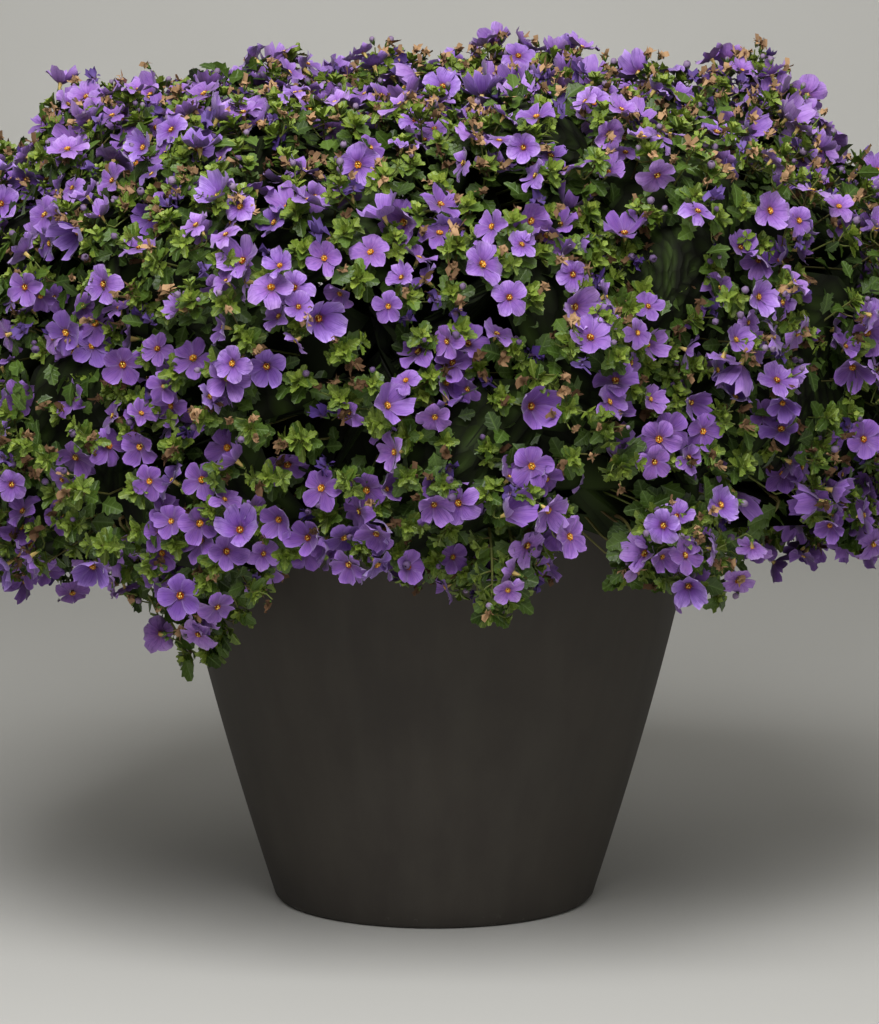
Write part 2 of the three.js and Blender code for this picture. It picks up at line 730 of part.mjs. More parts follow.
function makePlant() {
  const sprays = makeSprays();
  addBlades(sprays);
  spread(BUDS, HANGING_TILT).forEach((way) => {
    const spray = ownerOf(way, sprays);
    spray.blades.push(budOn(spray, way));
  });
  TRAILS.forEach((trail) => addTrail(trail, sprays));
  const plant = new THREE.Group();
  plant.name = "potted_bacopa";
  plant.add(finished(makePot(), "pot", finishes.pot));
  plant.add(finished(makeSoil(sprays), "potting_soil", finishes.soil));
  for (const spray of sprays) {
    const name = `spray_${String(spray.index + 1).padStart(2, "0")}`;
    const solid = fuse([solidFrom(spray.tangle), makeStem(spray), ...spray.blades]);
    plant.add(finished(solid, name, finishes.spray));
  }
  return plant;
}

export default makePlant();
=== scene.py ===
# A potted bacopa: the pot, and a dense mound of leafy shoots with violet flowers.
# Sizes are millimetres until a mesh is made, +Z is up and the plant's front faces -Y.
# A tilt is an angle from +Z, and a turn is an angle about +Z from +X.

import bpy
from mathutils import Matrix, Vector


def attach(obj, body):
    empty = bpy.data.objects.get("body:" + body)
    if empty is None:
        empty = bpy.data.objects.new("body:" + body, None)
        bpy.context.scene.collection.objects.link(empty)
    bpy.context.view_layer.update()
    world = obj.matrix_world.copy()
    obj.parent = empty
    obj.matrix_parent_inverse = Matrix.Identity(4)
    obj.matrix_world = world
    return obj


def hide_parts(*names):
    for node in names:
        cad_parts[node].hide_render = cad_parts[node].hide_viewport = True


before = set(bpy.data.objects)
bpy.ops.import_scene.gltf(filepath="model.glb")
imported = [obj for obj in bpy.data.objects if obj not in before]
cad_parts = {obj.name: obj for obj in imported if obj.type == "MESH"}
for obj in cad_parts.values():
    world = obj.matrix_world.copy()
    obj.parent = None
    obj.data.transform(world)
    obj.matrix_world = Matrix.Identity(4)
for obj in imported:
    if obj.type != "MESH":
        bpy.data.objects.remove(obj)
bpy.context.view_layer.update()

import math
from collections import namedtuple

import bpy
import numpy as np

MM = 0.001
FULL_TURN = 2 * math.pi
GOLDEN_TURN = math.pi * (3 - math.sqrt(5))
UP = np.array([0.0, 0.0, 1.0])
UNTURNED = np.eye(3)
SEED = 4711

# Pot, with the same curve as its CAD solid
POT_HEIGHT = 250
POT_RIM_RADIUS = 150
POT_FOOT_RADIUS = 88.5
POT_SWELL = 1.3
POT_WALL = 3
POT_FLOOR = 5
POT_FOOT_BEVEL = 3
POT_FOOT_ROUND = (1, 0.8)  # how far in and up a corner of the bevel is
POT_RIM_ROUND = 1.4
POT_SIDES = 128
POT_STEPS = 20
POT_RIM_STEPS = 6
POT_INNER_STEPS = 8
DRAIN_HOLES = 4
DRAIN_HOLE_RADIUS = 6
DRAIN_HOLE_CIRCLE = 50
DRAIN_HOLE_SIDES = 24
DRAIN_CUT_MARGIN = 2
SHARP_EDGE = math.radians(40)  # an edge that bends more than this isn't smoothed

# Soil
SOIL_TOP = 236
SOIL_CLEARANCE = 0.3
SOIL_STEPS = 12
SOIL_RINGS = 24
SOIL_SIDES = 72
SOIL_BUMPS = (-1.6, 0.6)
SOIL_HOLE_RADIUS = 4.6
SOIL_HOLE_DEPTH = 26
SOIL_HOLE_SIDES = 16
SOIL_CUT_MARGIN = 5
PLANTED_RADIUS = 122
CRUMBS = 500
CRUMB_SIZES = (1.2, 3.4)
CRUMB_EDGE_GAP = 4

# Mound surface and sprays, as in the CAD source
MOUND_MIDDLE = np.array([0.0, 0.0, 300.0])
MOUND_HALF_WIDTH = 281
MOUND_HALF_HEIGHT = 167
MOUND_SQUARENESS = 3
MOUND_LEAN = 8
LUMP_HEIGHT = 6
LUMP_WAVES = [(3, 5, 0), (5, -7, 1)]  # round the turns, down the tilts, and where each starts
SLOPE_STEP = 0.03
AREA_BANDS = 240
EDGE_HEIGHT = 184
EDGE_RISE_RIGHT = 8
EDGE_RISE_FRONT = 10
SPRAYS = 32
LOWEST_SPRAY_TILT = 1.92
LOWEST_BLADE_TILT = 2.06
HANGING_TILT = 1.6
FIRST_TURN = 0.6
BLADES = 270  # the CAD solids' blooms and leaves, each the place of three or four shoots
STEM_HEAD_SHARE = 0.6  # of the mound's radius
STEM_HEAD_TILT = 1.76
STEM_RISE = 0.4
STEM_FLARE = 1.1
STEM_RADIUS = 2.1
STEM_STEPS = 12
STEM_SIDES = 8

# How low the foliage reaches at the front, as pairs of x and height, with a gap on the right
FRONT_EDGE = [(-281, 176), (-221, 198), (-175, 210), (-100, 198), (-84, 206), (-66, 214),
              (-57, 222), (-46, 220), (-17, 206), (-2, 206), (37, 190), (48, 204), (62, 210),
              (71, 232), (76, 262), (98, 262), (103, 226), (109, 208), (128, 203), (141, 203),
              (150, 226), (160, 256), (175, 244), (188, 268), (202, 236), (217, 212),
              (227, 204), (281, 192)]
EDGE_HANG = 4  # of leaves and flowers below the edge of the mound's surface
EDGE_SLACK = 3  # how much lower than that a piece may reach
POT_KEEP_OFF = 164  # from its axis, for all that is lower than a little above its rim
RIM_KEEP_OFF = 8

# Clumps, which stand out of the mound or leave it open, as waves with these lengths
CLUMP_WAVES = 9
CLUMP_LONGEST = 110
CLUMP_SHORTEST = 55
CLUMP_DEPTH = 7.5

# Hanging sprigs: turn, height of the tip, and reach from the pot's axis
HANGING_SPRIGS = [(3.92, 156, 184), (4.0, 163, 182), (3.84, 174, 188), (4.08, 172, 186),
                  (3.98, 178, 194), (4.14, 184, 186), (4.22, 204, 190), (3.78, 186, 196),
                  (5.62, 186, 190), (5.55, 198, 194), (0.9, 170, 192), (2.4, 164, 190),
                  (5.13, 212, 238), (4.83, 198, 244), (4.87, 206, 252), (4.06, 168, 186),
                  (4.02, 160, 186), (5.17, 214, 240), (5.24, 210, 238), (5.32, 206, 236),
                  (5.4, 214, 232)]
SPRIG_START_TILT = 1.82
SPRIG_START_DEPTH = 48
SPRIG_SHOULDER = 14
SPRIG_STEPS = 10
SPRIG_SIDES = 5
SPRIG_RADIUS = 1.0
SPRIG_FIRST_LEAVES = 3  # steps from its start
SPRIG_LEAF_SIZES = (0.55, 0.85)
SPRIG_SIDE_LENGTHS = (6, 11)
SPRIG_FLOWER_SHARES = (0.55, 0.75, 0.95)
SPRIG_FLOWER_CHANCE = 0.7
SPRIG_ROSETTE = (11, 10, 8.4, 6.6, 4.6)  # lengths of its leaves, from the outside in

# Flower, facing +Z from its throat, with its top petals towards +X
FLOWER_RADIUS = 11.7
THROAT_RADIUS = 1.7
PETALS = 5
PETAL_WIDTH = 9.9
PETAL_CLAW = 0.3  # width at its base, as a share of its widest
PETAL_WIDEST = 0.66  # share of its length
PETAL_END = 1.14  # where its rounded outline would close, as a share of its length
PETAL_BOW = 0.2  # how far its corners lie back from its tip, as a share of its length
PETAL_LENGTHS = (0.88, 1.06)
PETAL_WIDTHS = (0.82, 1.12)
LOW_PETAL_LENGTH = 1.05
TOP_PETAL_LENGTH = 0.9
TOP_PETAL_LIFT = 0.15
PETAL_LEAN = 0.12  # of its tip to one side
PETAL_EDGE_LIFTS = (-0.4, 0.85)
PETAL_NOTCH = 0.09  # at the most, in its tip
PETAL_RIPPLES = (0.4, 1.3)  # height of the waves across it
PETAL_CRINKLE = 0.16
PETAL_ROWS = 3
PETAL_COLUMNS = 4
PETAL_LAYER = 0.16  # height between the layers that its petals lie in
TUBE_LENGTH = 7
TUBE_SIDES = 4
THROAT_SIDES = 6
THROAT_DEPTH = 2.2
ANTHERS = 3
ANTHER_HALF_SIZE = (0.75, 0.45, 0.5)
ANTHER_CIRCLE = 0.75
ANTHER_HEIGHT = 0.35
CALYX_POINTS = 10
CALYX_TIP = (2.3, 4.6)  # radius and height
CALYX_NOTCH = (1.1, 1.9)
PEDICEL_RADIUS = 0.45

# Kinds of flower: how far the petals rise, and how far their tips turn down
FLOWER_SHAPES = 14
FLOWER_LIFTS = (0.1, 0.22, 0.35, 0.05, -0.1, 0.5, 0.16)
FLOWER_CURLS = (0.1, 0.5, 0.2, -0.3, 0.3, 0.1, 0.8)
HALF_OPEN_LIFTS = (0.8, 1.0, 0.65)
HALF_OPEN_CURL = -0.2
WITHERED_SHAPES = 8
WITHERED_SHREDS = (8, 4.0, 2.7, 1)  # number, length, width and columns
FADED_SHAPES = 5
FADED_SHREDS = (7, 5.6, 3.4, 2)
BUD_RADII = (2.0, 1.6, 2.3)

# Leaf, along +X from its base, with its upper face towards +Z
LEAF_LENGTH = 17
LEAF_WIDTH = 13
LEAF_TEETH = (0.34, 0.63, 0.92)  # on each side, as shares of its length
TOOTH_REACHES = (1.0, 1.14)  # of a tooth's tip, as shares of the leaf's outline
NOTCH_REACHES = (0.7, 0.8)  # of the notch after it
TOOTH_BACK = 0.05  # from its tip to the notch, as a share of the leaf's length
LEAF_FOLDS = (0.1, 0.45)
LEAF_ARCHES = (0.02, 0.3)
YOUNG_LEAF_WIDTH = 0.84 * LEAF_WIDTH
YOUNG_LEAF_FOLDS = (0.35, 0.8)
YOUNG_LEAF_ARCHES = (-0.2, 0.14)
SMALL_LEAF = 6  # its longest
SMALL_LEAF_WIDTH = 0.9 * LEAF_WIDTH
SMALL_LEAF_TEETH = (0.6,)
LEAF_SHAPES = 10

# Shoots
SHOOTS_PER_PLACE = 3
FOURTH_SHOOT_CHANCE = 0.33
SHOOT_SPREAD = 15  # from their place
FILLING_PLACES = 2400
FILLING_GAP = 19  # a shoot is added where none is this near
TIP_DEPTH = 8  # of a shoot's tip under the mound's surface, on average
TIP_DEPTH_CHANGE = 4
LEAST_TIP_DEPTH = -4
TOP_SINK = 7  # how much lower the shoots at the very top are
LEFT_SINK = 18  # twice how much lower they are at the upper left and the lower right
LOWEST_SHOOT_SLOPE = -0.35
SHOOT_RADIUS = 0.75
SHOOT_STEPS = 4
THIN_SIDES = 3  # of the thinnest stems
NODE_DEPTHS = (4, 10, 17, 25)  # of the pairs of leaves, down the stem
TIP_ROSETTE = (9.0, 8.4, 7.2, 5.6, 4.0)
SIDE_ROSETTE = (7.6, 6.4, 4.6)
TIP_ROSETTE_SCALES = (0.8, 1.2)
SIDE_ROSETTE_SCALES = (0.8, 1.1)
PAIR_LEAF_SIZES = (0.5, 0.76)  # as shares of the length of a leaf
SIDE_SHOOT_CHANCE = 0.45
SIDE_SHOOT_FEET = (5, 12)  # down the stem from its tip
SIDE_SHOOT_LENGTHS = (7, 13)
SIDE_SHOOT_RADII = (0.6, 0.5, 0.4)
TOP_RISE = 160
STANDING_SHOOTS = [(168, 0, 16), (176, -8, 13), (160, 4, 11), (72, 0, 4), (62, -10, 4), (33, 0, 4),
                   (40, 10, 2), (-21, 0, 4), (-30, -8, 3), (-74, 0, 3), (-197, 0, 2),
                   (203, -5, 9), (210, -12, 8)]  # along the top, with how far they stand out

# The dense inside of a spray, painted dark as deep shade
CORE_DEPTH = 31
CORE_RINGS = 5
CORE_SIDES = 18
CORE_RUFFLE = 7
CORE_WIDEST = 0.9
CORE_OVERLAP = 1.12
CORE_LOWEST_TILT = 1.92
CORE_STEP = 10  # inwards, to get clear of the pot
CORE_LEAVES = 92
CORE_LEAF_HEIGHTS = (1, 12)  # above the core
CORE_LEAF_SIZES = (0.48, 0.8)

# Flowers on a shoot, as average numbers
RICHNESS = 1.43  # of fresh flowers, where there is room for all
RICHNESS_WAVE = 0.8
LEAST_RICHNESS = 0.15
BUDS = 0.5
WITHERED = 1.55
WITHERED_ON_TOP = 0.9

# Their shares, sizes and gaps
OPEN_SHARE = 0.88  # of the fresh flowers, and the others are half open
FADED_CHANCE = 0.26
FLOWER_SIZES = (0.72, 1.05)
SPOT_TRIES = 9
FLOWER_GAP = 10.8  # at least, between the middles of two flowers
TIP_GAP = 8  # at least, between a flower and the tip of a shoot

# How they stand: where their stalks begin and end, and how far each kind faces sideways
FRESH_FOOT = 8  # down from the middle of an open or half-open flower, to its stalk
OTHER_FOOT = 5
STALK_FEET = (5, 14)  # down the stem from a shoot's tip
LOWEST_FACING = -0.5
FACING_ASIDE = {"flower": 0.45, "half_open": 0.45, "bud": 0.3, "withered": 0.6, "faded": 0.5}
SPRIG_FACING_ASIDE = 0.3

# Where flowers are from a shoot's tip: nearest and farthest aside, lowest and highest along it
FLOWER_SPOT = (8, 15, -12, 5)
FADED_SPOT = (7, 12, -4, 3)
BUD_SPOT = (4, 8, 0, 5)
WITHERED_SPOT = (6, 12, -4, 3)

# Shades, from 0 for the darkest of a finish to 1 for the palest; painted shade deepens them low on
# the mound, and for flowers also under its surface
PAINTED_SHADE_BELOW = 412
PAINTED_SHADE_OVER = 170
PAINTED_SHADE_BY_DEPTH = 0.03  # painted shade for each millimetre under the mound's surface
LOW_FLOWER_PAINTED_SHADE = 0.72
LOW_LEAF_PAINTED_SHADE = 0.2
SHADE_CHANGE = (-0.4, 0.28)  # from flower to flower
LOW_SHADE_CHANGE = 0.6  # how much more the shades of low flowers differ


def unit(vector):
    return vector / np.linalg.norm(vector)


def leaf_frame(forward, upward):
    """Columns are a leaf's forward, sideways and upward directions."""
    ahead = unit(forward)
    aside = unit(np.cross(upward, ahead))
    return np.stack([ahead, aside, np.cross(ahead, aside)], axis=1)


def flower_frame(facing, top):
    """Columns are towards a flower's top petals, sideways, and out of its throat."""
    out = unit(facing)
    high = unit(top - out * np.dot(top, out))
    return np.stack([high, np.cross(out, high), out], axis=1)


def swing(first, second, angle):
    """The direction at this angle from the first of two square directions to the second."""
    return first * math.cos(angle) + second * math.sin(angle)


def turns(count):
    """The start of each of the equal parts of a full turn."""
    return [i / count * FULL_TURN for i in range(count)]


def ring(radius, height, sides):
    return [[radius * math.cos(angle), radius * math.sin(angle), height] for angle in turns(sides)]


def distance_to(points, place):
    """The distance from a place to the nearest of the points."""
    return math.sqrt(np.min(np.sum((np.asarray(points) - place) ** 2, axis=1)))


# Mound surface, as directions from the mound's middle

def direction(tilt, turn):
    flat = math.sin(tilt)
    return np.array([flat * math.cos(turn), flat * math.sin(turn), math.cos(tilt)])


def level_way(turn):
    return direction(FULL_TURN / 4, turn)


def tilt_of(way):
    return math.acos(max(-1.0, min(1.0, way[2])))


def turn_of(way):
    return math.atan2(way[1], way[0])


def edge_height(point):
    """How low the mound's surface goes near a point."""
    if point[1] > 0:
        turn = math.atan2(point[1], point[0])
        return EDGE_HEIGHT + EDGE_RISE_RIGHT * math.cos(turn) - EDGE_RISE_FRONT * math.sin(turn)
    return np.interp(point[0], *zip(*FRONT_EDGE)) + EDGE_HANG


def mound_radius(way):
    tilt = tilt_of(way)
    turn = turn_of(way)
    width = MOUND_HALF_WIDTH - MOUND_LEAN * math.cos(turn)
    across = (math.sin(tilt) / width) ** MOUND_SQUARENESS
    along = (abs(math.cos(tilt)) / MOUND_HALF_HEIGHT) ** MOUND_SQUARENESS
    radius = (across + along) ** (-1 / MOUND_SQUARENESS)
    for around, down, start in LUMP_WAVES:
        radius += LUMP_HEIGHT * math.sin(around * turn + down * tilt + start) * math.sin(tilt)
    if way[2] < 0:
        for _ in range(3):
            edge = edge_height(way * radius)
            radius = min(radius, (MOUND_MIDDLE[2] - edge) / -way[2])
    return radius


def surface_point(way, depth):
    return MOUND_MIDDLE + way * (mound_radius(way) - depth)


def surface_normal(way):
    tilt = max(tilt_of(way), 2 * SLOPE_STEP)
    turn = turn_of(way)
    down = surface_point(direction(tilt + SLOPE_STEP, turn), 0)
    down -= surface_point(direction(tilt - SLOPE_STEP, turn), 0)
    ahead = surface_point(direction(tilt, turn + SLOPE_STEP), 0)
    ahead -= surface_point(direction(tilt, turn - SLOPE_STEP), 0)
    return unit(np.cross(down, ahead))


def in_the_way(point):
    """True inside the pot, or in front of the bare stretch of its wall."""
    if point[2] < POT_HEIGHT + RIM_KEEP_OFF and math.hypot(point[0], point[1]) < POT_KEEP_OFF:
        return True
    return point[1] < 0 and point[2] < edge_height(point) - EDGE_HANG - EDGE_SLACK


def make_waves(rng):
    """Random waves whose sum makes clumps."""
    ways = rng.normal(0, 1, (CLUMP_WAVES, 3))
    ways /= np.linalg.norm(ways, axis=1)[:, None]
    lengths = rng.uniform(CLUMP_SHORTEST, CLUMP_LONGEST, CLUMP_WAVES)
    return ways * (FULL_TURN / lengths)[:, None], rng.uniform(0, FULL_TURN, CLUMP_WAVES)


def wave_height(waves, point):
    ways, starts = waves
    return float(np.sum(np.sin(ways @ point + starts))) / math.sqrt(CLUMP_WAVES / 2)


def tilts_at_shares(shares, lowest):
    """The tilts above which lie these shares of the mound's area."""
    step = lowest / AREA_BANDS
    edge = [surface_point(direction(i * step, FULL_TURN / 4), 0) for i in range(AREA_BANDS + 1)]
    areas = [0.0]
    for upper, lower in zip(edge, edge[1:]):
        areas.append(areas[-1] + (upper[1] + lower[1]) / 2 * np.linalg.norm(lower - upper))
    return np.interp(np.array(shares) * areas[-1], areas, np.arange(AREA_BANDS + 1) * step)


def spread(count, lowest):
    tilts = tilts_at_shares([(i + 0.5) / count for i in range(count)], lowest)
    return [direction(tilt, FIRST_TURN + i * GOLDEN_TURN) for i, tilt in enumerate(tilts)]


# Templates: small shapes with a place on the pattern sheet for every point

SHEET_CELLS = 8  # the pattern sheet is a square of 8 by 8 cells
CELL_MARGIN = 0.04
CELLS = {  # the first cell of each finish, and how many shades it has
    "petal": (0, 16),
    "leaf": (16, 16),
    "tip": (32, 8),
    "stem": (40, 4),
    "bud": (44, 4),
    "withered": (48, 6),
    "faded": (54, 4),
    "throat": (58, 2),
    "anther": (60, 1),
    "tube": (61, 1),
    "calyx": (62, 1),
    "core": (63, 1),
}
FINISHES = list(CELLS)


class Shape:
    """Points, triangles, and each point's place in its cell. A shape wears one finish."""

    def __init__(self, points, triangles, places, finish):
        self.points = np.asarray(points, float)
        self.triangles = np.asarray(triangles, int)
        self.places = np.clip(np.asarray(places, float), 0, 1)
        self.finish = finish


def add_object(name, data):
    """Puts a mesh, camera or light into the scene."""
    thing = bpy.data.objects.new(name, data)
    bpy.context.scene.collection.objects.link(thing)
    return thing


def mesh_object(name, points, faces, materials, smooth=True):
    mesh = bpy.data.meshes.new(name)
    mesh.from_pydata((np.array(points) * MM).tolist(), [], faces)
    mesh.polygons.foreach_set("use_smooth", [smooth] * len(faces))
    for material in materials:
        mesh.materials.append(material)
    return add_object(name, mesh)


class Heap:
    """The shapes of one piece, collected before its mesh is made."""

    def __init__(self):
        self.points, self.triangles, self.places, self.slots = [], [], [], []
        self.count = 0

    def add(self, shape, shade, origin=0, turn=UNTURNED, scale=1):
        """Places a shape. The shade is 0 for the darkest of its finish and 1 for the palest."""
        points = (shape.points * scale) @ turn.T + origin
        first, shades = CELLS[shape.finish]
        cell = first + min(int(shade * shades), shades - 1)
        corner = np.array([cell % SHEET_CELLS, cell // SHEET_CELLS])
        inset = CELL_MARGIN + shape.places * (1 - 2 * CELL_MARGIN)
        self.points.append(points)
        self.places.append((corner + inset) / SHEET_CELLS)
        self.triangles.append(shape.triangles + self.count)
        self.slots.append(np.full(len(shape.triangles), FINISHES.index(shape.finish)))
        self.count += len(points)

    def make(self, name):
        """The piece, a mesh object with only the finishes that it wears."""
        triangles = np.concatenate(self.triangles)
        slots = np.concatenate(self.slots)
        worn = np.unique(slots)
        materials = [finishes[FINISHES[slot]] for slot in worn]
        piece = mesh_object(name, np.concatenate(self.points), triangles.tolist(), materials)
        sheet = piece.data.uv_layers.new(name="OFBake")
        sheet.data.foreach_set("uv", np.concatenate(self.places)[triangles.ravel()].ravel())
        piece.data.polygons.foreach_set("material_index", np.searchsorted(worn, slots))
        return piece


def grid_triangles(rows, columns, closed=False):
    """Triangles of a grid of points, row by row. A closed grid's rows are rings."""
    wide = columns if closed else columns + 1
    triangles = []
    for row in range(rows):
        for column in range(columns):
            a = row * wide + column
            b = row * wide + (column + 1) % wide
            triangles += [[a, b, b + wide], [a, b + wide, a + wide]]
    return triangles


def ring_places(sides, along):
    return [[abs(2 * i / sides - 1), along] for i in range(sides)]


def petal(rng, lift, curl, length, width, finish, rows=PETAL_ROWS, columns=PETAL_COLUMNS):
    """A petal along +X from the throat. It rises by lift, and its tip turns down by curl."""
    share = np.linspace(0, 1, rows + 1)[:, None]
    side = np.linspace(-1, 1, columns + 1)[None, :]
    rising = np.sin(np.minimum(share / PETAL_WIDEST, 1) * math.pi / 2)
    falling = np.maximum(share - PETAL_WIDEST, 0) / (PETAL_END - PETAL_WIDEST)
    swell = np.where(share < PETAL_WIDEST, rising, np.sqrt(1 - falling ** 2))
    half = width / 2 * (PETAL_CLAW + (1 - PETAL_CLAW) * swell)
    lean = rng.uniform(-PETAL_LEAN, PETAL_LEAN)
    phase = rng.uniform(0, FULL_TURN)
    edges = np.where(side > 0, rng.uniform(*PETAL_EDGE_LIFTS), rng.uniform(*PETAL_EDGE_LIFTS))
    notch = rng.uniform(0, PETAL_NOTCH) * (1 - side ** 2) ** 2
    along = length * (share - (PETAL_BOW * side ** 2 + notch) * share ** 3)
    aside = half * side + lean * length * share ** 2
    height = lift * length * share ** 1.5 - curl * length * np.maximum(share - 0.45, 0) ** 2
    height = height + edges * half * np.abs(side) ** 2.5 * share
    height = height + rng.uniform(*PETAL_RIPPLES) * np.sin(3.4 * side + phase) * share ** 1.5
    height = height + rng.uniform(-0.6, 0.6) * np.sin(7 * share + phase) - 0.5 * (1 - share) ** 3
    points = np.stack(np.broadcast_arrays(THROAT_RADIUS - 0.2 + along, aside, height), axis=2)
    crinkle = rng.normal(0, PETAL_CRINKLE, points.shape) * [1, 1, 1.6]
    points = points + crinkle * share[:, :, None]
    places = np.stack(np.broadcast_arrays(side / 2 + 0.5, share), axis=2)
    triangles = grid_triangles(rows, columns)
    return Shape(points.reshape(-1, 3), triangles, places.reshape(-1, 2), finish)


def turned_round(shape, angle, drop=0.0):
    """A copy of a shape, turned about +Z and moved down."""
    c, s = math.cos(angle), math.sin(angle)
    turn = np.array([[c, -s, 0], [s, c, 0], [0, 0, 1]])
    points = shape.points @ turn.T - [0, 0, drop]
    return Shape(points, shape.triangles, shape.places, shape.finish)


def cone(profile, sides, finish):
    """A tube about Z through [radius, height] pairs."""
    points, places = [], []
    for level, (radius, height) in enumerate(profile):
        points += ring(radius, height, sides)
        places += ring_places(sides, level / (len(profile) - 1))
    return Shape(points, grid_triangles(len(profile) - 1, sides, closed=True), places, finish)


def calyx(low):
    """Five pointed green lobes, round the foot of a flower's tube or a bud."""
    points = [[0, 0, low]]
    places = [[0.5, 0]]
    for i, angle in enumerate(turns(CALYX_POINTS)):
        radius, height = CALYX_TIP if i % 2 else CALYX_NOTCH
        points.append([radius * math.cos(angle), radius * math.sin(angle), low + height])
        places.append([0.5 + 0.4 * math.cos(angle), 1.0 if i % 2 else 0.5])
    triangles = [[0, 1 + (i + 1) % CALYX_POINTS, 1 + i] for i in range(CALYX_POINTS)]
    return Shape(points, triangles, places, "calyx")


OCTAHEDRON = np.array([[1, 0, 0], [-1, 0, 0], [0, 1, 0], [0, -1, 0], [0, 0, 1], [0, 0, -1]])
OCTAHEDRON_FACES = [[0, 2, 4], [2, 1, 4], [1, 3, 4], [3, 0, 4],
                    [2, 0, 5], [1, 2, 5], [3, 1, 5], [0, 3, 5]]


def anther(angle):
    """A small yellow lozenge beside the middle of the throat."""
    middle = [ANTHER_CIRCLE * math.cos(angle), ANTHER_CIRCLE * math.sin(angle), ANTHER_HEIGHT]
    points = OCTAHEDRON * ANTHER_HALF_SIZE + middle
    return Shape(points, OCTAHEDRON_FACES, np.full((6, 2), 0.5), "anther")


def flower_template(rng, lift, curl):
    """An open flower as a list of shapes."""
    shapes = []
    for i in range(PETALS):
        angle = (i + 0.5) / PETALS * FULL_TURN
        low = math.cos(angle) < 0.5
        length = (FLOWER_RADIUS - THROAT_RADIUS) * (LOW_PETAL_LENGTH if low else TOP_PETAL_LENGTH)
        length *= rng.uniform(*PETAL_LENGTHS)
        rise = lift + (0 if low else TOP_PETAL_LIFT) + rng.uniform(-0.25, 0.25)
        bend = curl + rng.uniform(-0.3, 0.6)
        width = PETAL_WIDTH * rng.uniform(*PETAL_WIDTHS)
        shapes.append(turned_round(petal(rng, rise, bend, length, width, "petal"),
                                   angle + rng.uniform(-0.12, 0.12), PETAL_LAYER * (i % 3)))
    throat = [[0.1, -THROAT_DEPTH], [THROAT_RADIUS + 0.25, 0.15]]
    shapes.append(cone(throat, THROAT_SIDES, "throat"))
    for angle in turns(ANTHERS):
        shapes.append(anther(angle + rng.uniform(0, 1)))
    tube = [[0.8, -TUBE_LENGTH], [1.1, -TUBE_LENGTH / 2], [THROAT_RADIUS, -0.2]]
    shapes.append(cone(tube, TUBE_SIDES, "tube"))
    shapes.append(calyx(-TUBE_LENGTH - 1))
    return shapes


def shred_template(rng, finish, shreds, length, width, columns):
    """A withered or faded flower: a crumpled tuft of shreds in its calyx."""
    shapes = []
    for i in range(shreds):
        strip = petal(rng, rng.uniform(-0.1, 1.6), rng.uniform(-1.0, 4.0),
                      length * rng.uniform(0.6, 1.15), width * rng.uniform(0.7, 1.2), finish,
                      2, columns)
        strip.points[:, 0] -= THROAT_RADIUS
        strip.points += rng.normal(0, 0.12 * length, strip.points.shape)
        shapes.append(turned_round(strip, i * GOLDEN_TURN + rng.uniform(-0.4, 0.4)))
    shapes.append(cone([[0.6, -3], [1.2, -0.2]], 5, finish))
    shapes.append(calyx(-4))
    return shapes


def bud_template(rng, radius):
    """A round bud of folded petals in its calyx."""
    profile = []
    for i in range(5):
        angle = i / 4 * math.pi
        profile.append([max(radius * math.sin(angle), 0.02), -radius * math.cos(angle) * 1.05])
    ball = cone(profile, 6, "bud")
    ball.points += rng.uniform(-0.12, 0.12, ball.points.shape)
    return [ball, calyx(-radius - 2.6)]


def leaf_template(rng, width, fold, arch, finish, teeth):
    """A leaf with a wedge-shaped base and coarse teeth, folded along its midrib."""
    ribs = [0, 0.5, 1]
    edge = [0.16]
    reach = [0.55]
    for share in teeth:
        tooth = share * rng.uniform(0.97, 1.0)
        edge += [tooth, tooth + TOOTH_BACK]
        reach += [rng.uniform(*TOOTH_REACHES), rng.uniform(*NOTCH_REACHES)]
    edge = np.array(edge[:-1])
    half = width / 2 * np.sin(math.pi * np.minimum(edge * 0.94, 1) ** 0.9) ** 0.8
    half = half * np.array(reach[:-1])
    wave = rng.uniform(-0.5, 0.5, 2)
    points, places = [], []

    def put(share, aside):
        height = fold * abs(aside) - arch * LEAF_LENGTH * share ** 2
        height += wave[0] * math.sin(5 * share + (1 if aside > 0 else 3)) * abs(aside) / width
        points.append([LEAF_LENGTH * share, aside + wave[1] * share ** 2, height])
        places.append([0.5 + aside / width * 0.9, share])

    for share in ribs:
        put(share, 0)
    for side in (-1, 1):
        for share, aside in zip(edge, half):
            put(share, side * aside)
    triangles = []
    count = len(edge)
    for side, start in ((-1, len(ribs)), (1, len(ribs) + count)):
        outline = [0, *range(start, start + count), 2]
        for near, far in zip(outline, outline[1:]):
            triangles.append([1, far, near] if side > 0 else [1, near, far])
    return Shape(points, triangles, places, finish)


def stem_shape(knots, radii, sides):
    """A stem through the knots."""
    knots = np.asarray(knots, float)
    count = len(knots)
    points, places = [], []
    aside = np.array([0.31, 0.83, 0.47])
    for i in range(count):
        ahead = unit(knots[min(i + 1, count - 1)] - knots[max(i - 1, 0)])
        aside = unit(aside - ahead * np.dot(aside, ahead))
        across = np.cross(ahead, aside)
        points += [knots[i] + swing(aside, across, angle) * radii[i] for angle in turns(sides)]
        places += ring_places(sides, i / (count - 1))
    return Shape(points, grid_triangles(count - 1, sides, closed=True), places, "stem")


def bezier(a, b, c, d, steps):
    share = np.linspace(0, 1, steps + 1)[:, None]
    rest = 1 - share
    return rest ** 3 * a + 3 * rest ** 2 * share * b + 3 * rest * share ** 2 * c + share ** 3 * d


def leaf_shapes(rng, width, folds, arches, finish, teeth=LEAF_TEETH):
    return [leaf_template(rng, width, rng.uniform(*folds), rng.uniform(*arches), finish, teeth)
            for _ in range(LEAF_SHAPES)]


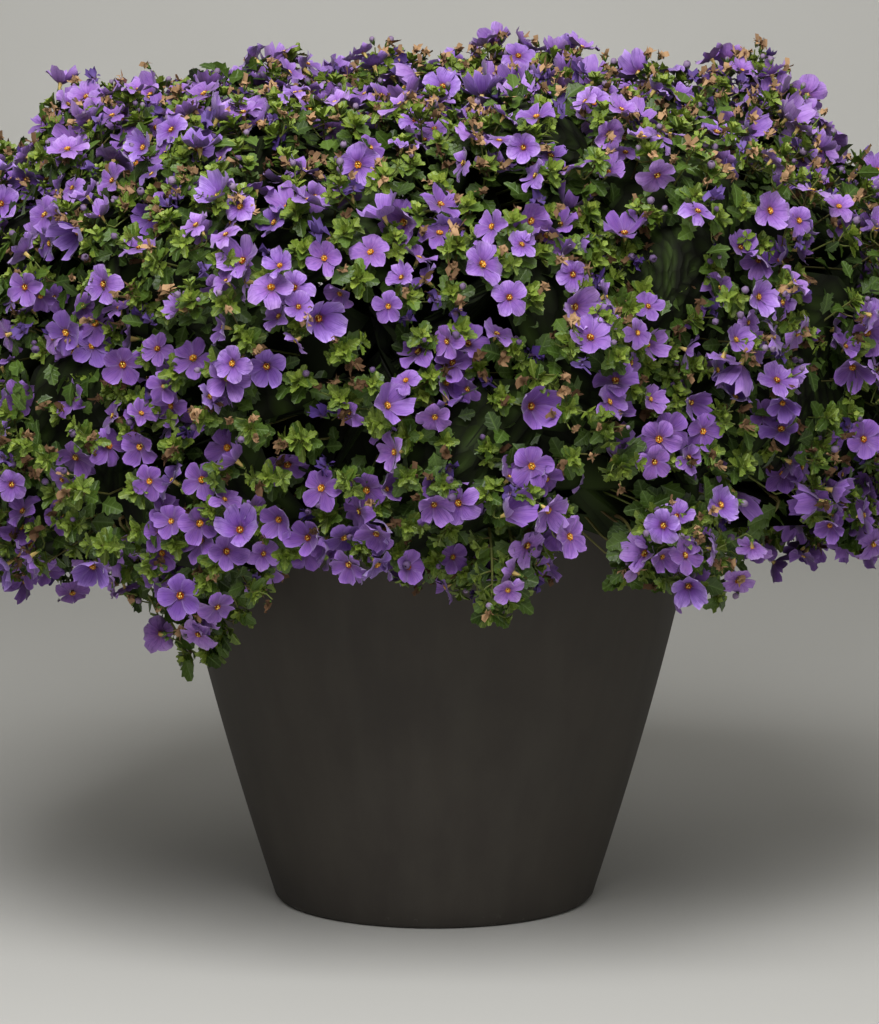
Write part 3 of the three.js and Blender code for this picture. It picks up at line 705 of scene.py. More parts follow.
def make_templates():
    rng = np.random.default_rng(SEED)
    kinds = [i % len(FLOWER_LIFTS) for i in range(FLOWER_SHAPES)]
    return {
        "flower": [flower_template(rng, FLOWER_LIFTS[kind], FLOWER_CURLS[kind]) for kind in kinds],
        "leaf": leaf_shapes(rng, LEAF_WIDTH, LEAF_FOLDS, LEAF_ARCHES, "leaf"),
        "tip": leaf_shapes(rng, YOUNG_LEAF_WIDTH, YOUNG_LEAF_FOLDS, YOUNG_LEAF_ARCHES, "tip"),
        "small": leaf_shapes(rng, SMALL_LEAF_WIDTH, YOUNG_LEAF_FOLDS, YOUNG_LEAF_ARCHES, "tip",
                             SMALL_LEAF_TEETH),
        "withered": [shred_template(rng, "withered", *WITHERED_SHREDS)
                     for _ in range(WITHERED_SHAPES)],
        "faded": [shred_template(rng, "faded", *FADED_SHREDS) for _ in range(FADED_SHAPES)],
        "half_open": [flower_template(rng, lift, HALF_OPEN_CURL) for lift in HALF_OPEN_LIFTS],
        "bud": [bud_template(rng, radius) for radius in BUD_RADII],
    }


def pick(kind, rng):
    return templates[kind][rng.integers(len(templates[kind]))]


# Sprays

class Spray:
    """One leafy branch, with the heaps of shapes for its two pieces."""

    def __init__(self, index, way):
        self.index = index
        self.way = way
        self.foliage = Heap()
        self.blooms = Heap()
        bent = direction(min(tilt_of(way), STEM_HEAD_TILT), turn_of(way))
        self.head = MOUND_MIDDLE + bent * mound_radius(bent) * STEM_HEAD_SHARE


# What the flowers on a shoot need to know of it
Shoot = namedtuple("Shoot", "spray way tip axis")


def owner_of(way):
    return max(sprays, key=lambda spray: float(np.dot(spray.way, way)))


def square_pair(axis, angle):
    """Two directions square to the axis and to each other."""
    helper = UP if abs(axis[2]) < 0.9 else np.array([1.0, 0, 0])
    first = unit(np.cross(helper, axis))
    second = np.cross(axis, first)
    return swing(first, second, angle), swing(second, -first, angle)


def aside_from(axis, angle):
    """A direction square to the axis."""
    return square_pair(axis, angle)[0]


def aside_way(way, angle, distance):
    """A direction to a place on the surface at this distance from another."""
    return unit(way + aside_from(way, angle) * (distance / mound_radius(way)))


def planted_at(spray):
    """How far from the pot's axis, and which way, a spray stands in the soil."""
    out = PLANTED_RADIUS * math.sqrt(spray.index / (SPRAYS - 1))
    return level_way(turn_of(spray.way)) * out


def add_main_stem(spray):
    """The bare stem from its hole in the soil to the spray's head."""
    sill = planted_at(spray) + UP * SOIL_TOP
    length = np.linalg.norm(spray.head - sill)
    arrival = direction(STEM_FLARE * tilt_of(spray.way), turn_of(spray.way))
    curve = bezier(sill, sill + UP * STEM_RISE * length,
                   spray.head - arrival * STEM_RISE * length, spray.head, STEM_STEPS)
    knots = np.vstack([sill - UP * (SOIL_HOLE_DEPTH - 1), curve])
    radii = np.linspace(STEM_RADIUS, STEM_RADIUS * 0.7, len(knots))
    spray.foliage.add(stem_shape(knots, radii, STEM_SIDES), 0.2)


def core_reach(spray, aside):
    """The angle from a spray's own direction to its border, on one side."""
    reach = CORE_WIDEST
    for other in sprays:
        towards = float(np.dot(aside, other.way))
        if towards > 0:
            reach = min(reach, math.atan2(1 - float(np.dot(spray.way, other.way)), towards))
    return reach * CORE_OVERLAP


def core_point(way):
    tilt = min(tilt_of(way), CORE_LOWEST_TILT)
    way = direction(tilt, turn_of(way))
    ruffle = CORE_RUFFLE * wave_height(ruffles, surface_point(way, 0))
    radius = mound_radius(way) - CORE_DEPTH + ruffle
    if tilt > HANGING_TILT:
        radius = max(radius, POT_KEEP_OFF / math.sin(tilt))
    point = MOUND_MIDDLE + way * radius
    while in_the_way(point) and radius > 0:
        radius -= CORE_STEP
        point = MOUND_MIDDLE + way * radius
        if point[2] > POT_HEIGHT + RIM_KEEP_OFF:
            break
    return point


def add_core(spray):
    """The dense inside that the leaves stand out of, painted dark as deep shade."""
    points = [core_point(spray.way)]
    places = [(0.5, 0.0)]
    for level in range(1, CORE_RINGS + 1):
        for angle in turns(CORE_SIDES):
            aside = aside_from(spray.way, angle)
            lean = core_reach(spray, aside) * level / CORE_RINGS
            points.append(core_point(swing(spray.way, aside, lean)))
        places += ring_places(CORE_SIDES, 0.95 * level / CORE_RINGS)
    points.append(spray.head)
    places.append((0.5, 1.0))
    triangles = [[0, 1 + i, 1 + (i + 1) % CORE_SIDES] for i in range(CORE_SIDES)]
    rings = np.array(grid_triangles(CORE_RINGS - 1, CORE_SIDES, closed=True)) + 1
    triangles += rings[:, [0, 2, 1]].tolist()
    last = 1 + (CORE_RINGS - 1) * CORE_SIDES
    for i in range(CORE_SIDES):
        triangles.append([last + (i + 1) % CORE_SIDES, last + i, len(points) - 1])
    spray.foliage.add(Shape(points, triangles, places, "core"), 0)


def lowness(point):
    """From 0 near the top to 1 low on the mound, where painted shade makes colours deeper."""
    return min(max((PAINTED_SHADE_BELOW - point[2]) / PAINTED_SHADE_OVER, 0), 1)


def add_leaf(heap, kind, base, forward, upward, length, rng, shade):
    # Leaves low on the mound get a darker shade: painted shade of the light from above.
    shade = min(max(shade - LOW_LEAF_PAINTED_SHADE * lowness(base) ** 2, 0), 1)
    heap.add(pick(kind, rng), shade, base, leaf_frame(forward, upward), length / LEAF_LENGTH)


def add_core_leaves(spray, rng):
    """Old leaves that lie over a spray's core, darker for their age and with painted shade."""
    for _ in range(CORE_LEAVES):
        aside = aside_from(spray.way, rng.uniform(0, FULL_TURN))
        lean = core_reach(spray, aside) * math.sqrt(rng.uniform())
        way = unit(swing(spray.way, aside, lean))
        place = core_point(way) + way * rng.uniform(*CORE_LEAF_HEIGHTS)
        forward = rng.normal(0, 1, 3) + way * rng.uniform(0, 0.8)
        if not in_the_way(place + unit(forward) * LEAF_LENGTH * 0.6):
            upward = way + UP * 0.3 + rng.normal(0, 0.3, 3)
            length = LEAF_LENGTH * rng.uniform(*CORE_LEAF_SIZES)
            shade = rng.uniform(0.1, 0.8)
            add_leaf(spray.foliage, "leaf", place, forward, upward, length, rng, shade)


def crossed_pairs(pair, count):
    """The level and the way out of each leaf in crossed pairs, from two square directions."""
    for level in range(count):
        for side in (-1, 1):
            yield level, pair[(level + 1) % 2] * side


def add_rosette(heap, tip, axis, pair, rng, scale, sizes, shade):
    """Young leaves in crossed pairs, the inner ones smaller and steeper."""
    for level, out in crossed_pairs(pair, len(sizes)):
        forward = out + axis * (0.1 + 0.3 * level) + rng.normal(0, 0.16, 3)
        upward = axis - out * 0.3 + rng.normal(0, 0.15, 3)
        base = tip - axis * (len(sizes) - level) * 1.1 * scale
        tone = shade + 0.13 * level + rng.uniform(-0.2, 0.2)
        kind = "tip" if sizes[level] > SMALL_LEAF else "small"
        add_leaf(heap, kind, base, forward, upward, sizes[level] * scale, rng, tone)


def add_side_shoot(spray, node, axis, aside, rng, length):
    """A short shoot from a leaf's foot, with its own small rosette."""
    lean = unit(aside + axis * rng.uniform(0.6, 1.2) + rng.normal(0, 0.2, 3))
    tip = node + lean * length
    if in_the_way(tip):
        return
    knots = bezier(node, node + aside * length * 0.3, tip - lean * length * 0.3, tip, 2)
    spray.foliage.add(stem_shape(knots, SIDE_SHOOT_RADII, THIN_SIDES), 0.8)
    pair = square_pair(lean, rng.uniform(0, FULL_TURN))
    scale = rng.uniform(*SIDE_ROSETTE_SCALES)
    add_rosette(spray.foliage, tip, lean, pair, rng, scale, SIDE_ROSETTE, 0.2)


def add_leaf_pairs(spray, tip, axis, pair, rng):
    """Pairs of full-grown leaves down a stem, each square to the last."""
    for level, out in crossed_pairs(pair, len(NODE_DEPTHS)):
        node = tip - axis * NODE_DEPTHS[level]
        forward = out + axis * rng.uniform(0.0, 0.5) + rng.normal(0, 0.18, 3)
        size = LEAF_LENGTH * rng.uniform(*PAIR_LEAF_SIZES) * (0.8 + 0.1 * level)
        shade = 0.8 - 0.14 * level + rng.uniform(-0.25, 0.2)
        if not in_the_way(node + forward * size * 0.5):
            add_leaf(spray.foliage, "leaf", node, forward, axis, size, rng, shade)


def add_shoot(spray, way, rng, out=0.0):
    """A leafy shoot with its tip near the mound's surface, or this far out of it."""
    depth = TIP_DEPTH - CLUMP_DEPTH * wave_height(clumps, surface_point(way, 0))
    depth += rng.uniform(-TIP_DEPTH_CHANGE, TIP_DEPTH_CHANGE)
    depth += TOP_SINK * max(way[2], 0) ** 2 + LEFT_SINK * max(-way[0] * way[2], 0)
    tip = surface_point(way, -out if out > 0 else max(depth, LEAST_TIP_DEPTH))
    axis = surface_normal(way) * 0.8 + way * 0.4 + UP * 0.3 + rng.normal(0, 0.25, 3)
    axis[2] = max(axis[2], LOWEST_SHOOT_SLOPE)
    axis = unit(axis)
    start = spray.head + (tip - spray.head) * 0.15
    length = np.linalg.norm(tip - start)
    arrival = tip - axis * min(45, length * 0.5)
    knots = bezier(start, start + (tip - start) * 0.35, arrival, tip, SHOOT_STEPS)
    radii = np.linspace(SHOOT_RADIUS * 1.5, SHOOT_RADIUS * 0.6, len(knots))
    spray.foliage.add(stem_shape(knots, radii, THIN_SIDES), rng.uniform(0.2, 1))
    pair = square_pair(axis, rng.uniform(0, FULL_TURN))
    scale = rng.uniform(*TIP_ROSETTE_SCALES)
    add_rosette(spray.foliage, tip, axis, pair, rng, scale, TIP_ROSETTE, 0.12)
    add_leaf_pairs(spray, tip, axis, pair, rng)
    for side in (-1, 1):
        if rng.uniform() < SIDE_SHOOT_CHANCE:
            node = tip - axis * rng.uniform(*SIDE_SHOOT_FEET)
            length = rng.uniform(*SIDE_SHOOT_LENGTHS)
            add_side_shoot(spray, node, axis, pair[0] * side, rng, length)
    return Shoot(spray, way, tip, axis)


def add_flower(heap, kind, middle, facing, rng, shade, scale):
    shapes = pick(kind, rng)
    turn = flower_frame(facing, UP + rng.normal(0, 0.4, 3))
    other_shade = rng.uniform(0, 1)
    for shape in shapes:
        coloured = shape.finish in ("petal", "bud", "withered", "faded")
        heap.add(shape, shade if coloured else other_shade, middle, turn, scale)


def add_pedicel(heap, start, end, facing, rng, steps):
    """The thin stalk from a shoot's stem to the foot of a flower."""
    length = np.linalg.norm(end - start)
    knots = bezier(start, start + unit(end - start) * length * 0.4 + rng.normal(0, 0.6, 3),
                   end - facing * length * 0.4, end, steps)
    shape = stem_shape(knots, [PEDICEL_RADIUS] * (steps + 1), THIN_SIDES)
    heap.add(shape, rng.uniform(0.4, 1))


def add_bloom(shoot, middle, rng, kind, turned):
    """A flower, bud or withered flower on its stalk. Turned is how far it faces sideways."""
    outward = middle - shoot.tip
    outward = outward / max(np.linalg.norm(outward), 1)
    facing = surface_normal(shoot.way) * 0.8 + UP * 0.2 + outward * turned
    facing = facing + rng.normal(0, 0.4, 3)
    facing[2] = max(facing[2], LOWEST_FACING)
    facing = unit(facing)
    scale = rng.uniform(*FLOWER_SIZES)
    # Flowers deep under the mound's surface and low on it get darker shades: painted shade of the
    # light from above.
    depth = mound_radius(shoot.way) - np.linalg.norm(middle - MOUND_MIDDLE)
    low = lowness(middle)
    change = rng.uniform(*SHADE_CHANGE) * (1 + LOW_SHADE_CHANGE * low)
    shade = 1.0 - depth * PAINTED_SHADE_BY_DEPTH - LOW_FLOWER_PAINTED_SHADE * low + change
    add_flower(shoot.spray.blooms, kind, middle, facing, rng, min(max(shade, 0), 1), scale)
    fresh = kind in ("flower", "half_open")
    foot = middle - facing * (FRESH_FOOT if fresh else OTHER_FOOT) * scale
    start = shoot.tip - shoot.axis * rng.uniform(*STALK_FEET)
    add_pedicel(shoot.spray.blooms, start, foot, facing, rng, 3 if fresh else 2)


def open_spot(shoot, rng, nearest, farthest, lowest, highest):
    """A place for a flower beside a shoot's tip, clear of other flowers and tips, or None."""
    for _ in range(SPOT_TRIES):
        aside = aside_from(shoot.axis, rng.uniform(0, FULL_TURN))
        spot = shoot.tip + aside * rng.uniform(nearest, farthest)
        spot = spot + shoot.axis * rng.uniform(lowest, highest)
        if in_the_way(spot) or distance_to(tips, spot) < TIP_GAP:
            continue
        if distance_to(taken, spot) >= FLOWER_GAP:
            return spot
    return None


def any_spot(shoot, rng, nearest, farthest, lowest, highest):
    """A place for a bud or a withered flower near a shoot's tip."""
    aside = unit(rng.normal(0, 1, 3)) * rng.uniform(nearest, farthest)
    return shoot.tip + aside + shoot.axis * rng.uniform(lowest, highest)


def add_shoots():
    rng = np.random.default_rng(SEED + 1)
    shoots = []
    for x, y, out in STANDING_SHOOTS:
        way = unit(np.array([x, y, TOP_RISE]))
        shoots.append(add_shoot(owner_of(way), way, rng, out))
    for place in spread(BLADES, LOWEST_BLADE_TILT):
        around = rng.uniform(0, FULL_TURN)
        count = SHOOTS_PER_PLACE + (rng.uniform() < FOURTH_SHOOT_CHANCE)
        for turn in turns(count):
            way = aside_way(place, around + turn, SHOOT_SPREAD * rng.uniform(0.75, 1.25))
            if not in_the_way(surface_point(way, TIP_DEPTH)):
                shoots.append(add_shoot(owner_of(way), way, rng))
    for way in spread(FILLING_PLACES, LOWEST_BLADE_TILT):
        place = surface_point(way, TIP_DEPTH)
        gap = distance_to([shoot.tip for shoot in shoots], place)
        if gap > FILLING_GAP and not in_the_way(place):
            shoots.append(add_shoot(owner_of(way), way, rng))
    return shoots


def add_flowers(shoots):
    rng = np.random.default_rng(SEED + 3)
    for shoot in shoots:
        richness = RICHNESS + RICHNESS_WAVE * wave_height(riches, shoot.tip)
        for _ in range(rng.poisson(max(richness, LEAST_RICHNESS))):
            spot = open_spot(shoot, rng, *FLOWER_SPOT)
            if spot is not None:
                taken.append(spot)
                kind = "flower" if rng.uniform() < OPEN_SHARE else "half_open"
                add_bloom(shoot, spot, rng, kind, FACING_ASIDE[kind])
    for shoot in shoots:
        rise = max(shoot.way[2], 0)
        for _ in range(rng.poisson(BUDS)):
            spot = any_spot(shoot, rng, *BUD_SPOT)
            add_bloom(shoot, spot, rng, "bud", FACING_ASIDE["bud"])
        for _ in range(rng.poisson(WITHERED + WITHERED_ON_TOP * rise)):
            nearest, farthest, lowest, highest = WITHERED_SPOT
            spot = any_spot(shoot, rng, nearest, farthest, lowest, highest - 2 * rise)
            if not in_the_way(spot):
                add_bloom(shoot, spot, rng, "withered", FACING_ASIDE["withered"])
        if rng.uniform() < FADED_CHANCE:
            spot = open_spot(shoot, rng, *FADED_SPOT)
            if spot is not None:
                add_bloom(shoot, spot, rng, "faded", FACING_ASIDE["faded"])


def add_sprig(turn, low, reach, rng):
    """A sprig that hangs down over the pot, with leaves, side shoots and a rosette at its tip."""
    way = direction(LOWEST_BLADE_TILT, turn)
    spray = owner_of(way)
    start = surface_point(direction(SPRIG_START_TILT, turn), SPRIG_START_DEPTH)
    level = level_way(turn)
    shoulder = level * (reach + SPRIG_SHOULDER) + UP * (start[2] * 0.6 + low * 0.4)
    end = level * reach + UP * low
    knots = bezier(start, start + level * 20, shoulder, end, SPRIG_STEPS)
    radii = np.linspace(SPRIG_RADIUS, SPRIG_RADIUS / 2, len(knots))
    spray.foliage.add(stem_shape(knots, radii, SPRIG_SIDES), 0.6)
    heading = unit(knots[-1] - knots[-3])
    across = np.cross(heading, level)
    for i in range(SPRIG_FIRST_LEAVES, SPRIG_STEPS + 1):
        node = knots[i]
        aside = across if i % 2 else unit(across * 0.7 - level * 0.3)
        for side in (-1, 1):
            forward = aside * side + heading * 0.5 + rng.normal(0, 0.2, 3)
            upward = level + UP * 0.4 + rng.normal(0, 0.2, 3)
            size = LEAF_LENGTH * rng.uniform(*SPRIG_LEAF_SIZES)
            add_leaf(spray.foliage, "leaf", node, forward, upward, size, rng, rng.uniform(0.3, 1))
        if i > SPRIG_FIRST_LEAVES:
            add_side_shoot(spray, node, level * 0.7 + heading * 0.3,
                           across * rng.choice([-1, 1]), rng, rng.uniform(*SPRIG_SIDE_LENGTHS))
    axis = unit(heading * 0.5 + level + UP * 0.1)
    pair = square_pair(axis, rng.uniform(0, FULL_TURN))
    add_rosette(spray.foliage, end, axis, pair, rng, 1.05, SPRIG_ROSETTE, 0.2)
    return Shoot(spray, way, end, axis), knots


def add_sprigs():
    rng = np.random.default_rng(SEED + 4)
    for turn, low, reach in HANGING_SPRIGS:
        shoot, knots = add_sprig(turn, low, reach, rng)
        level = level_way(turn)
        for share in SPRIG_FLOWER_SHARES:
            node = knots[int(share * SPRIG_STEPS)]
            if rng.uniform() < SPRIG_FLOWER_CHANCE:
                aside = np.cross(level, UP) * rng.uniform(-11, 11)
                spot = node + level * rng.uniform(6, 11) + aside
                taken.append(spot)
                held = shoot._replace(tip=node, axis=level)
                add_bloom(held, spot, rng, "flower", SPRIG_FACING_ASIDE)
        for kind in ("bud", "withered"):
            spot = knots[-2] + level * rng.uniform(3, 7) + rng.normal(0, 4, 3)
            add_bloom(shoot, spot, rng, kind, SPRIG_FACING_ASIDE)


# Materials, with colours as the 0 to 255 values that a screen shows

PETAL_PALE = [(0.0, (62, 12, 24)), (0.09, (78, 22, 72)), (0.2, (118, 66, 166)),
              (0.5, (158, 116, 208)), (0.85, (184, 150, 228)), (1.0, (206, 178, 238))]
PETAL_DARK = [(0.0, (48, 10, 20)), (0.09, (56, 20, 60)), (0.2, (76, 40, 114)),
              (0.6, (102, 62, 150)), (1.0, (140, 100, 190))]
PETAL_PINK = (182, 122, 196)
PETAL_BLOTCH = (108, 66, 162)
PETAL_VEIN = (84, 44, 132)
PETAL_EDGE = (190, 160, 235)
LEAVES = {  # dark, middle, pale, and along the veins
    "leaf": [(32, 50, 12), (62, 88, 24), (102, 130, 44), (118, 146, 76)],
    "tip": [(72, 98, 20), (120, 144, 42), (174, 188, 80), (182, 198, 104)],
}
PLAIN = {  # dark, pale, at the foot, and how rough it is
    "stem": [(96, 82, 48), (122, 140, 66), (108, 84, 54), 0.5],
    "bud": [(104, 82, 122), (158, 136, 168), (130, 144, 90), 0.6],
    "withered": [(88, 62, 40), (204, 164, 122), (104, 84, 54), 0.8],
    "faded": [(66, 44, 108), (124, 98, 170), (110, 84, 90), 0.65],
    "throat": [(170, 84, 20), (222, 142, 38), (128, 58, 14), 0.5],
    "anther": [(248, 214, 96), (255, 232, 140), (246, 210, 100), 0.4],
    "tube": [(216, 188, 112), (226, 200, 130), (170, 176, 96), 0.5],
    "calyx": [(92, 124, 50), (128, 158, 74), (96, 128, 50), 0.55],
}
# The core's colours are painted deep shade, darkest along the gaps between its leaves.
CORE_DARK = (22, 30, 10)
CORE_PALE = (64, 86, 30)
CORE_GAP_SHADE = (14, 18, 6)
CORE_BLOTCH = (16, 14, 6)
POT_DARK = (56, 51, 46)
POT_PALE = (64, 59, 53)
POT_STREAK = (74, 70, 63)
POT_SCUFF = (120, 116, 108)
SOIL_COLOURS = [(0.3, (20, 14, 10)), (0.55, (52, 38, 28)), (0.75, (92, 70, 50))]
PAPER_DARK = (196, 195, 190)
PAPER_PALE = (201, 200, 196)


def linear(value):
    """A colour as the shader takes it, or a socket as it is."""
    if isinstance(value, bpy.types.NodeSocket):
        return value
    shares = [part / 255 for part in value]
    return (*(s / 12.92 if s <= 0.04045 else ((s + 0.055) / 1.055) ** 2.4 for s in shares), 1.0)


class Nodes:
    """A short way to write the nodes of a material or a world."""

    def __init__(self, owner):
        owner.use_nodes = True
        self.owner = owner
        self.tree = owner.node_tree

    def new(self, kind, inputs=(), **settings):
        node = self.tree.nodes.new(kind)
        for setting, value in settings.items():
            setattr(node, setting, value)
        for key, value in dict(inputs).items():
            self.feed(node.inputs[key], value)
        return node

    def feed(self, socket, value):
        if isinstance(value, bpy.types.NodeSocket):
            self.tree.links.new(value, socket)
        else:
            socket.default_value = value

    def work(self, operation, a, b=0.0, c=0.0):
        return self.new("ShaderNodeMath", {0: a, 1: b, 2: c}, operation=operation).outputs[0]

    def times(self, a, b):
        return self.work("MULTIPLY", a, b)

    def rest(self, value):
        """One less the value."""
        return self.work("SUBTRACT", 1.0, value)

    def between(self, value, low, high):
        """0 up to the low value, and 1 from the high one."""
        return self.new("ShaderNodeMapRange", {0: value, 1: low, 2: high}).outputs[0]

    def clamp(self, value):
        return self.new("ShaderNodeClamp", {0: value}).outputs[0]

    def mix(self, share, a, b):
        inputs = {0: share, 6: linear(a), 7: linear(b)}
        return self.new("ShaderNodeMix", inputs, data_type="RGBA").outputs[2]

    def layer(self, body, *layers):
        """Lays colours over a body, each with its pattern and share."""
        for pattern, share, colour in layers:
            body = self.mix(self.times(pattern, share), body, colour)
        return body

    def ramp(self, share, stops):
        node = self.new("ShaderNodeValToRGB", {0: share})
        elements = node.color_ramp.elements
        while len(elements) < len(stops):
            elements.new(0.5)
        for element, (place, colour) in zip(elements, stops):
            element.position = place
            element.color = linear(colour)
        return node.outputs[0]

    def coordinates(self, kind="Object"):
        return self.new("ShaderNodeTexCoord").outputs[kind]

    def split(self, vector):
        return self.new("ShaderNodeSeparateXYZ", {0: vector}).outputs

    def vector(self, operation, a, b=(0.0, 0.0, 0.0)):
        return self.new("ShaderNodeVectorMath", {0: a, 1: b}, operation=operation).outputs[0]

    def noise(self, vector, scale, detail=2.0, rough=0.5):
        inputs = {"Vector": vector, "Scale": scale, "Detail": detail, "Roughness": rough}
        return self.new("ShaderNodeTexNoise", inputs).outputs[0]

    def streaks(self, vector, scales, detail):
        return self.noise(self.vector("MULTIPLY", vector, scales), 1.0, detail)

    def shade(self, colour, roughness, **more):
        """Feeds the material's shader."""
        shader = self.tree.nodes["Principled BSDF"]
        for key, value in {"Base_Color": linear(colour), "Roughness": roughness, **more}.items():
            self.feed(shader.inputs[key.replace("_", " ")], value)

    def bump(self, height, strength, distance):
        inputs = {"Height": height, "Strength": strength, "Distance": distance}
        normal = self.new("ShaderNodeBump", inputs).outputs[0]
        self.feed(self.tree.nodes["Principled BSDF"].inputs["Normal"], normal)


class SheetNodes(Nodes):
    """Nodes that read from the pattern sheet where a point is on its shape, and its shade."""

    def __init__(self, finish):
        super().__init__(bpy.data.materials.new(f"bacopa_{finish}"))
        self.sheet = self.new("ShaderNodeUVMap", uv_map="OFBake").outputs[0]
        cells = self.vector("MULTIPLY", self.sheet, (SHEET_CELLS, SHEET_CELLS, 0))
        place = self.split(self.vector("FRACTION", cells))
        corner = self.split(self.vector("FLOOR", cells))
        self.across, self.along = (
            self.work("DIVIDE", self.work("SUBTRACT", place[i], CELL_MARGIN), 1 - 2 * CELL_MARGIN)
            for i in range(2))
        number = self.work("MULTIPLY_ADD", corner[1], float(SHEET_CELLS), corner[0])
        first, shades = CELLS[finish]
        self.tone = self.work("DIVIDE", self.work("SUBTRACT", number, float(first)),
                              max(shades - 1, 1))
        self.odd = self.new("ShaderNodeTexWhiteNoise", {"W": number},
                            noise_dimensions="1D").outputs[0]

    def aside(self):
        """From 0 along a shape's middle to 1 at its edges."""
        return self.work("ABSOLUTE", self.work("MULTIPLY_ADD", self.across, 2.0, -1.0))


def petal_finish():
    nodes = SheetNodes("petal")
    dark = nodes.ramp(nodes.along, PETAL_DARK)
    pale = nodes.ramp(nodes.along, PETAL_PALE)
    streaks = nodes.streaks(nodes.sheet, (130.0, 10.0, 1.0), 1.0)
    body = nodes.layer(nodes.mix(nodes.tone, dark, pale),
                       (nodes.odd, 0.35, PETAL_PINK),
                       (nodes.between(nodes.noise(nodes.sheet, 34.0), 0.4, 0.7), 0.42, PETAL_BLOTCH),
                       (nodes.between(streaks, 0.5, 0.72), 0.6, PETAL_VEIN),
                       (nodes.work("POWER", nodes.aside(), 5.0), 0.3, PETAL_EDGE))
    nodes.shade(body, 0.55, Specular_IOR_Level=0.3, Sheen_Weight=0.25, Sheen_Roughness=0.5)
    nodes.bump(streaks, 0.5, 0.0006)
    return nodes.owner


def leaf_finish(finish, dark, middle, pale, vein):
    nodes = SheetNodes(finish)
    body = nodes.ramp(nodes.tone, [(0.0, dark), (0.5, middle), (1.0, pale)])
    blotches = nodes.noise(nodes.sheet, 60.0, 3.0)
    aside = nodes.aside()
    slant = nodes.work("MULTIPLY_ADD", aside, -0.32, nodes.along)
    wave = nodes.work("ABSOLUTE", nodes.work("SINE", nodes.times(slant, 14.0)))
    veins = nodes.times(nodes.work("POWER", nodes.rest(wave), 5.0), 0.55)
    lines = nodes.work("MAXIMUM", veins, nodes.work("POWER", nodes.rest(aside), 14.0))
    body = nodes.layer(body, (blotches, 0.45, dark), (nodes.odd, 0.25, pale), (lines, 0.5, vein))
    roughness = nodes.work("MULTIPLY_ADD", blotches, 0.2, 0.34)
    nodes.shade(body, roughness, Specular_IOR_Level=0.45)
    nodes.bump(nodes.work("MULTIPLY_ADD", lines, -1.0, blotches), 0.5, 0.0006)
    return nodes.owner


def plain_finish(finish, dark, pale, low, roughness):
    """A finish that goes from its dark to its pale shade, with the low colour at its foot."""
    nodes = SheetNodes(finish)
    grain = nodes.streaks(nodes.sheet, (160.0, 40.0, 1.0), 3.0)
    body = nodes.layer(nodes.mix(nodes.tone, dark, pale), (grain, 0.5, dark))
    foot = nodes.clamp(nodes.rest(nodes.times(nodes.along, 2.2)))
    nodes.shade(nodes.mix(foot, body, low), roughness, Specular_IOR_Level=0.3)
    nodes.bump(grain, 0.4, 0.0004)
    return nodes.owner


def core_finish():
    """Leaves in painted deep shade, seen only between the shoots."""
    nodes = SheetNodes("core")
    place = nodes.vector("ADD", nodes.sheet, (0.012, 0.012, 0.0))
    leafy = nodes.new("ShaderNodeTexVoronoi", {"Vector": place, "Scale": 95.0}).outputs
    body = nodes.mix(nodes.split(leafy["Color"])[0], CORE_DARK, CORE_PALE)
    # Painted shade darkens the gaps between the core's leaves.
    body = nodes.layer(body, (leafy["Distance"], 1.3, CORE_GAP_SHADE),
                       (nodes.noise(nodes.sheet, 60.0), 0.5, CORE_BLOTCH))
    nodes.shade(body, 0.8, Specular_IOR_Level=0.2)
    nodes.bump(leafy["Distance"], 0.8, 0.004)
    return nodes.owner


def pot_finish():
    nodes = Nodes(bpy.data.materials.new("pot_composite"))
    place = nodes.coordinates()
    mottle = nodes.noise(place, 18.0, 6.0, 0.6)
    streaks = nodes.streaks(place, (60.0, 60.0, 3.0), 3.0)
    low = nodes.clamp(nodes.rest(nodes.times(nodes.split(place)[2], 120.0)))
    scuffs = nodes.work("GREATER_THAN", nodes.noise(place, 70.0, 4.0, 0.7), 0.6)
    body = nodes.mix(nodes.between(mottle, 0.35, 0.65), POT_DARK, POT_PALE)
    body = nodes.layer(body, (nodes.between(streaks, 0.4, 0.68), 0.3, POT_STREAK),
                       (nodes.times(low, scuffs), 0.5, POT_SCUFF))
    nodes.shade(body, nodes.work("MULTIPLY_ADD", mottle, 0.2, 0.62), Specular_IOR_Level=0.4)
    nodes.bump(nodes.work("MULTIPLY_ADD", nodes.noise(place, 900.0), 0.3, streaks), 0.25, 0.0008)
    return nodes.owner


def soil_finish():
    nodes = Nodes(bpy.data.materials.new("potting_soil"))
    crumbs = nodes.noise(nodes.coordinates(), 260.0, 8.0, 0.7)
    nodes.shade(nodes.ramp(crumbs, SOIL_COLOURS), 0.95, Specular_IOR_Level=0.2)
    nodes.bump(crumbs, 0.9, 0.003)
    return nodes.owner


def make_finish(finish):
    if finish == "petal":
        return petal_finish()
    if finish == "core":
        return core_finish()
    if finish in LEAVES:
        return leaf_finish(finish, *LEAVES[finish])
    return plain_finish(finish, *PLAIN[finish])


# Pot and soil

def pot_radius(height):
    left = 1 - height / POT_HEIGHT
    return POT_FOOT_RADIUS + (POT_RIM_RADIUS - POT_FOOT_RADIUS) * (1 - left ** POT_SWELL)


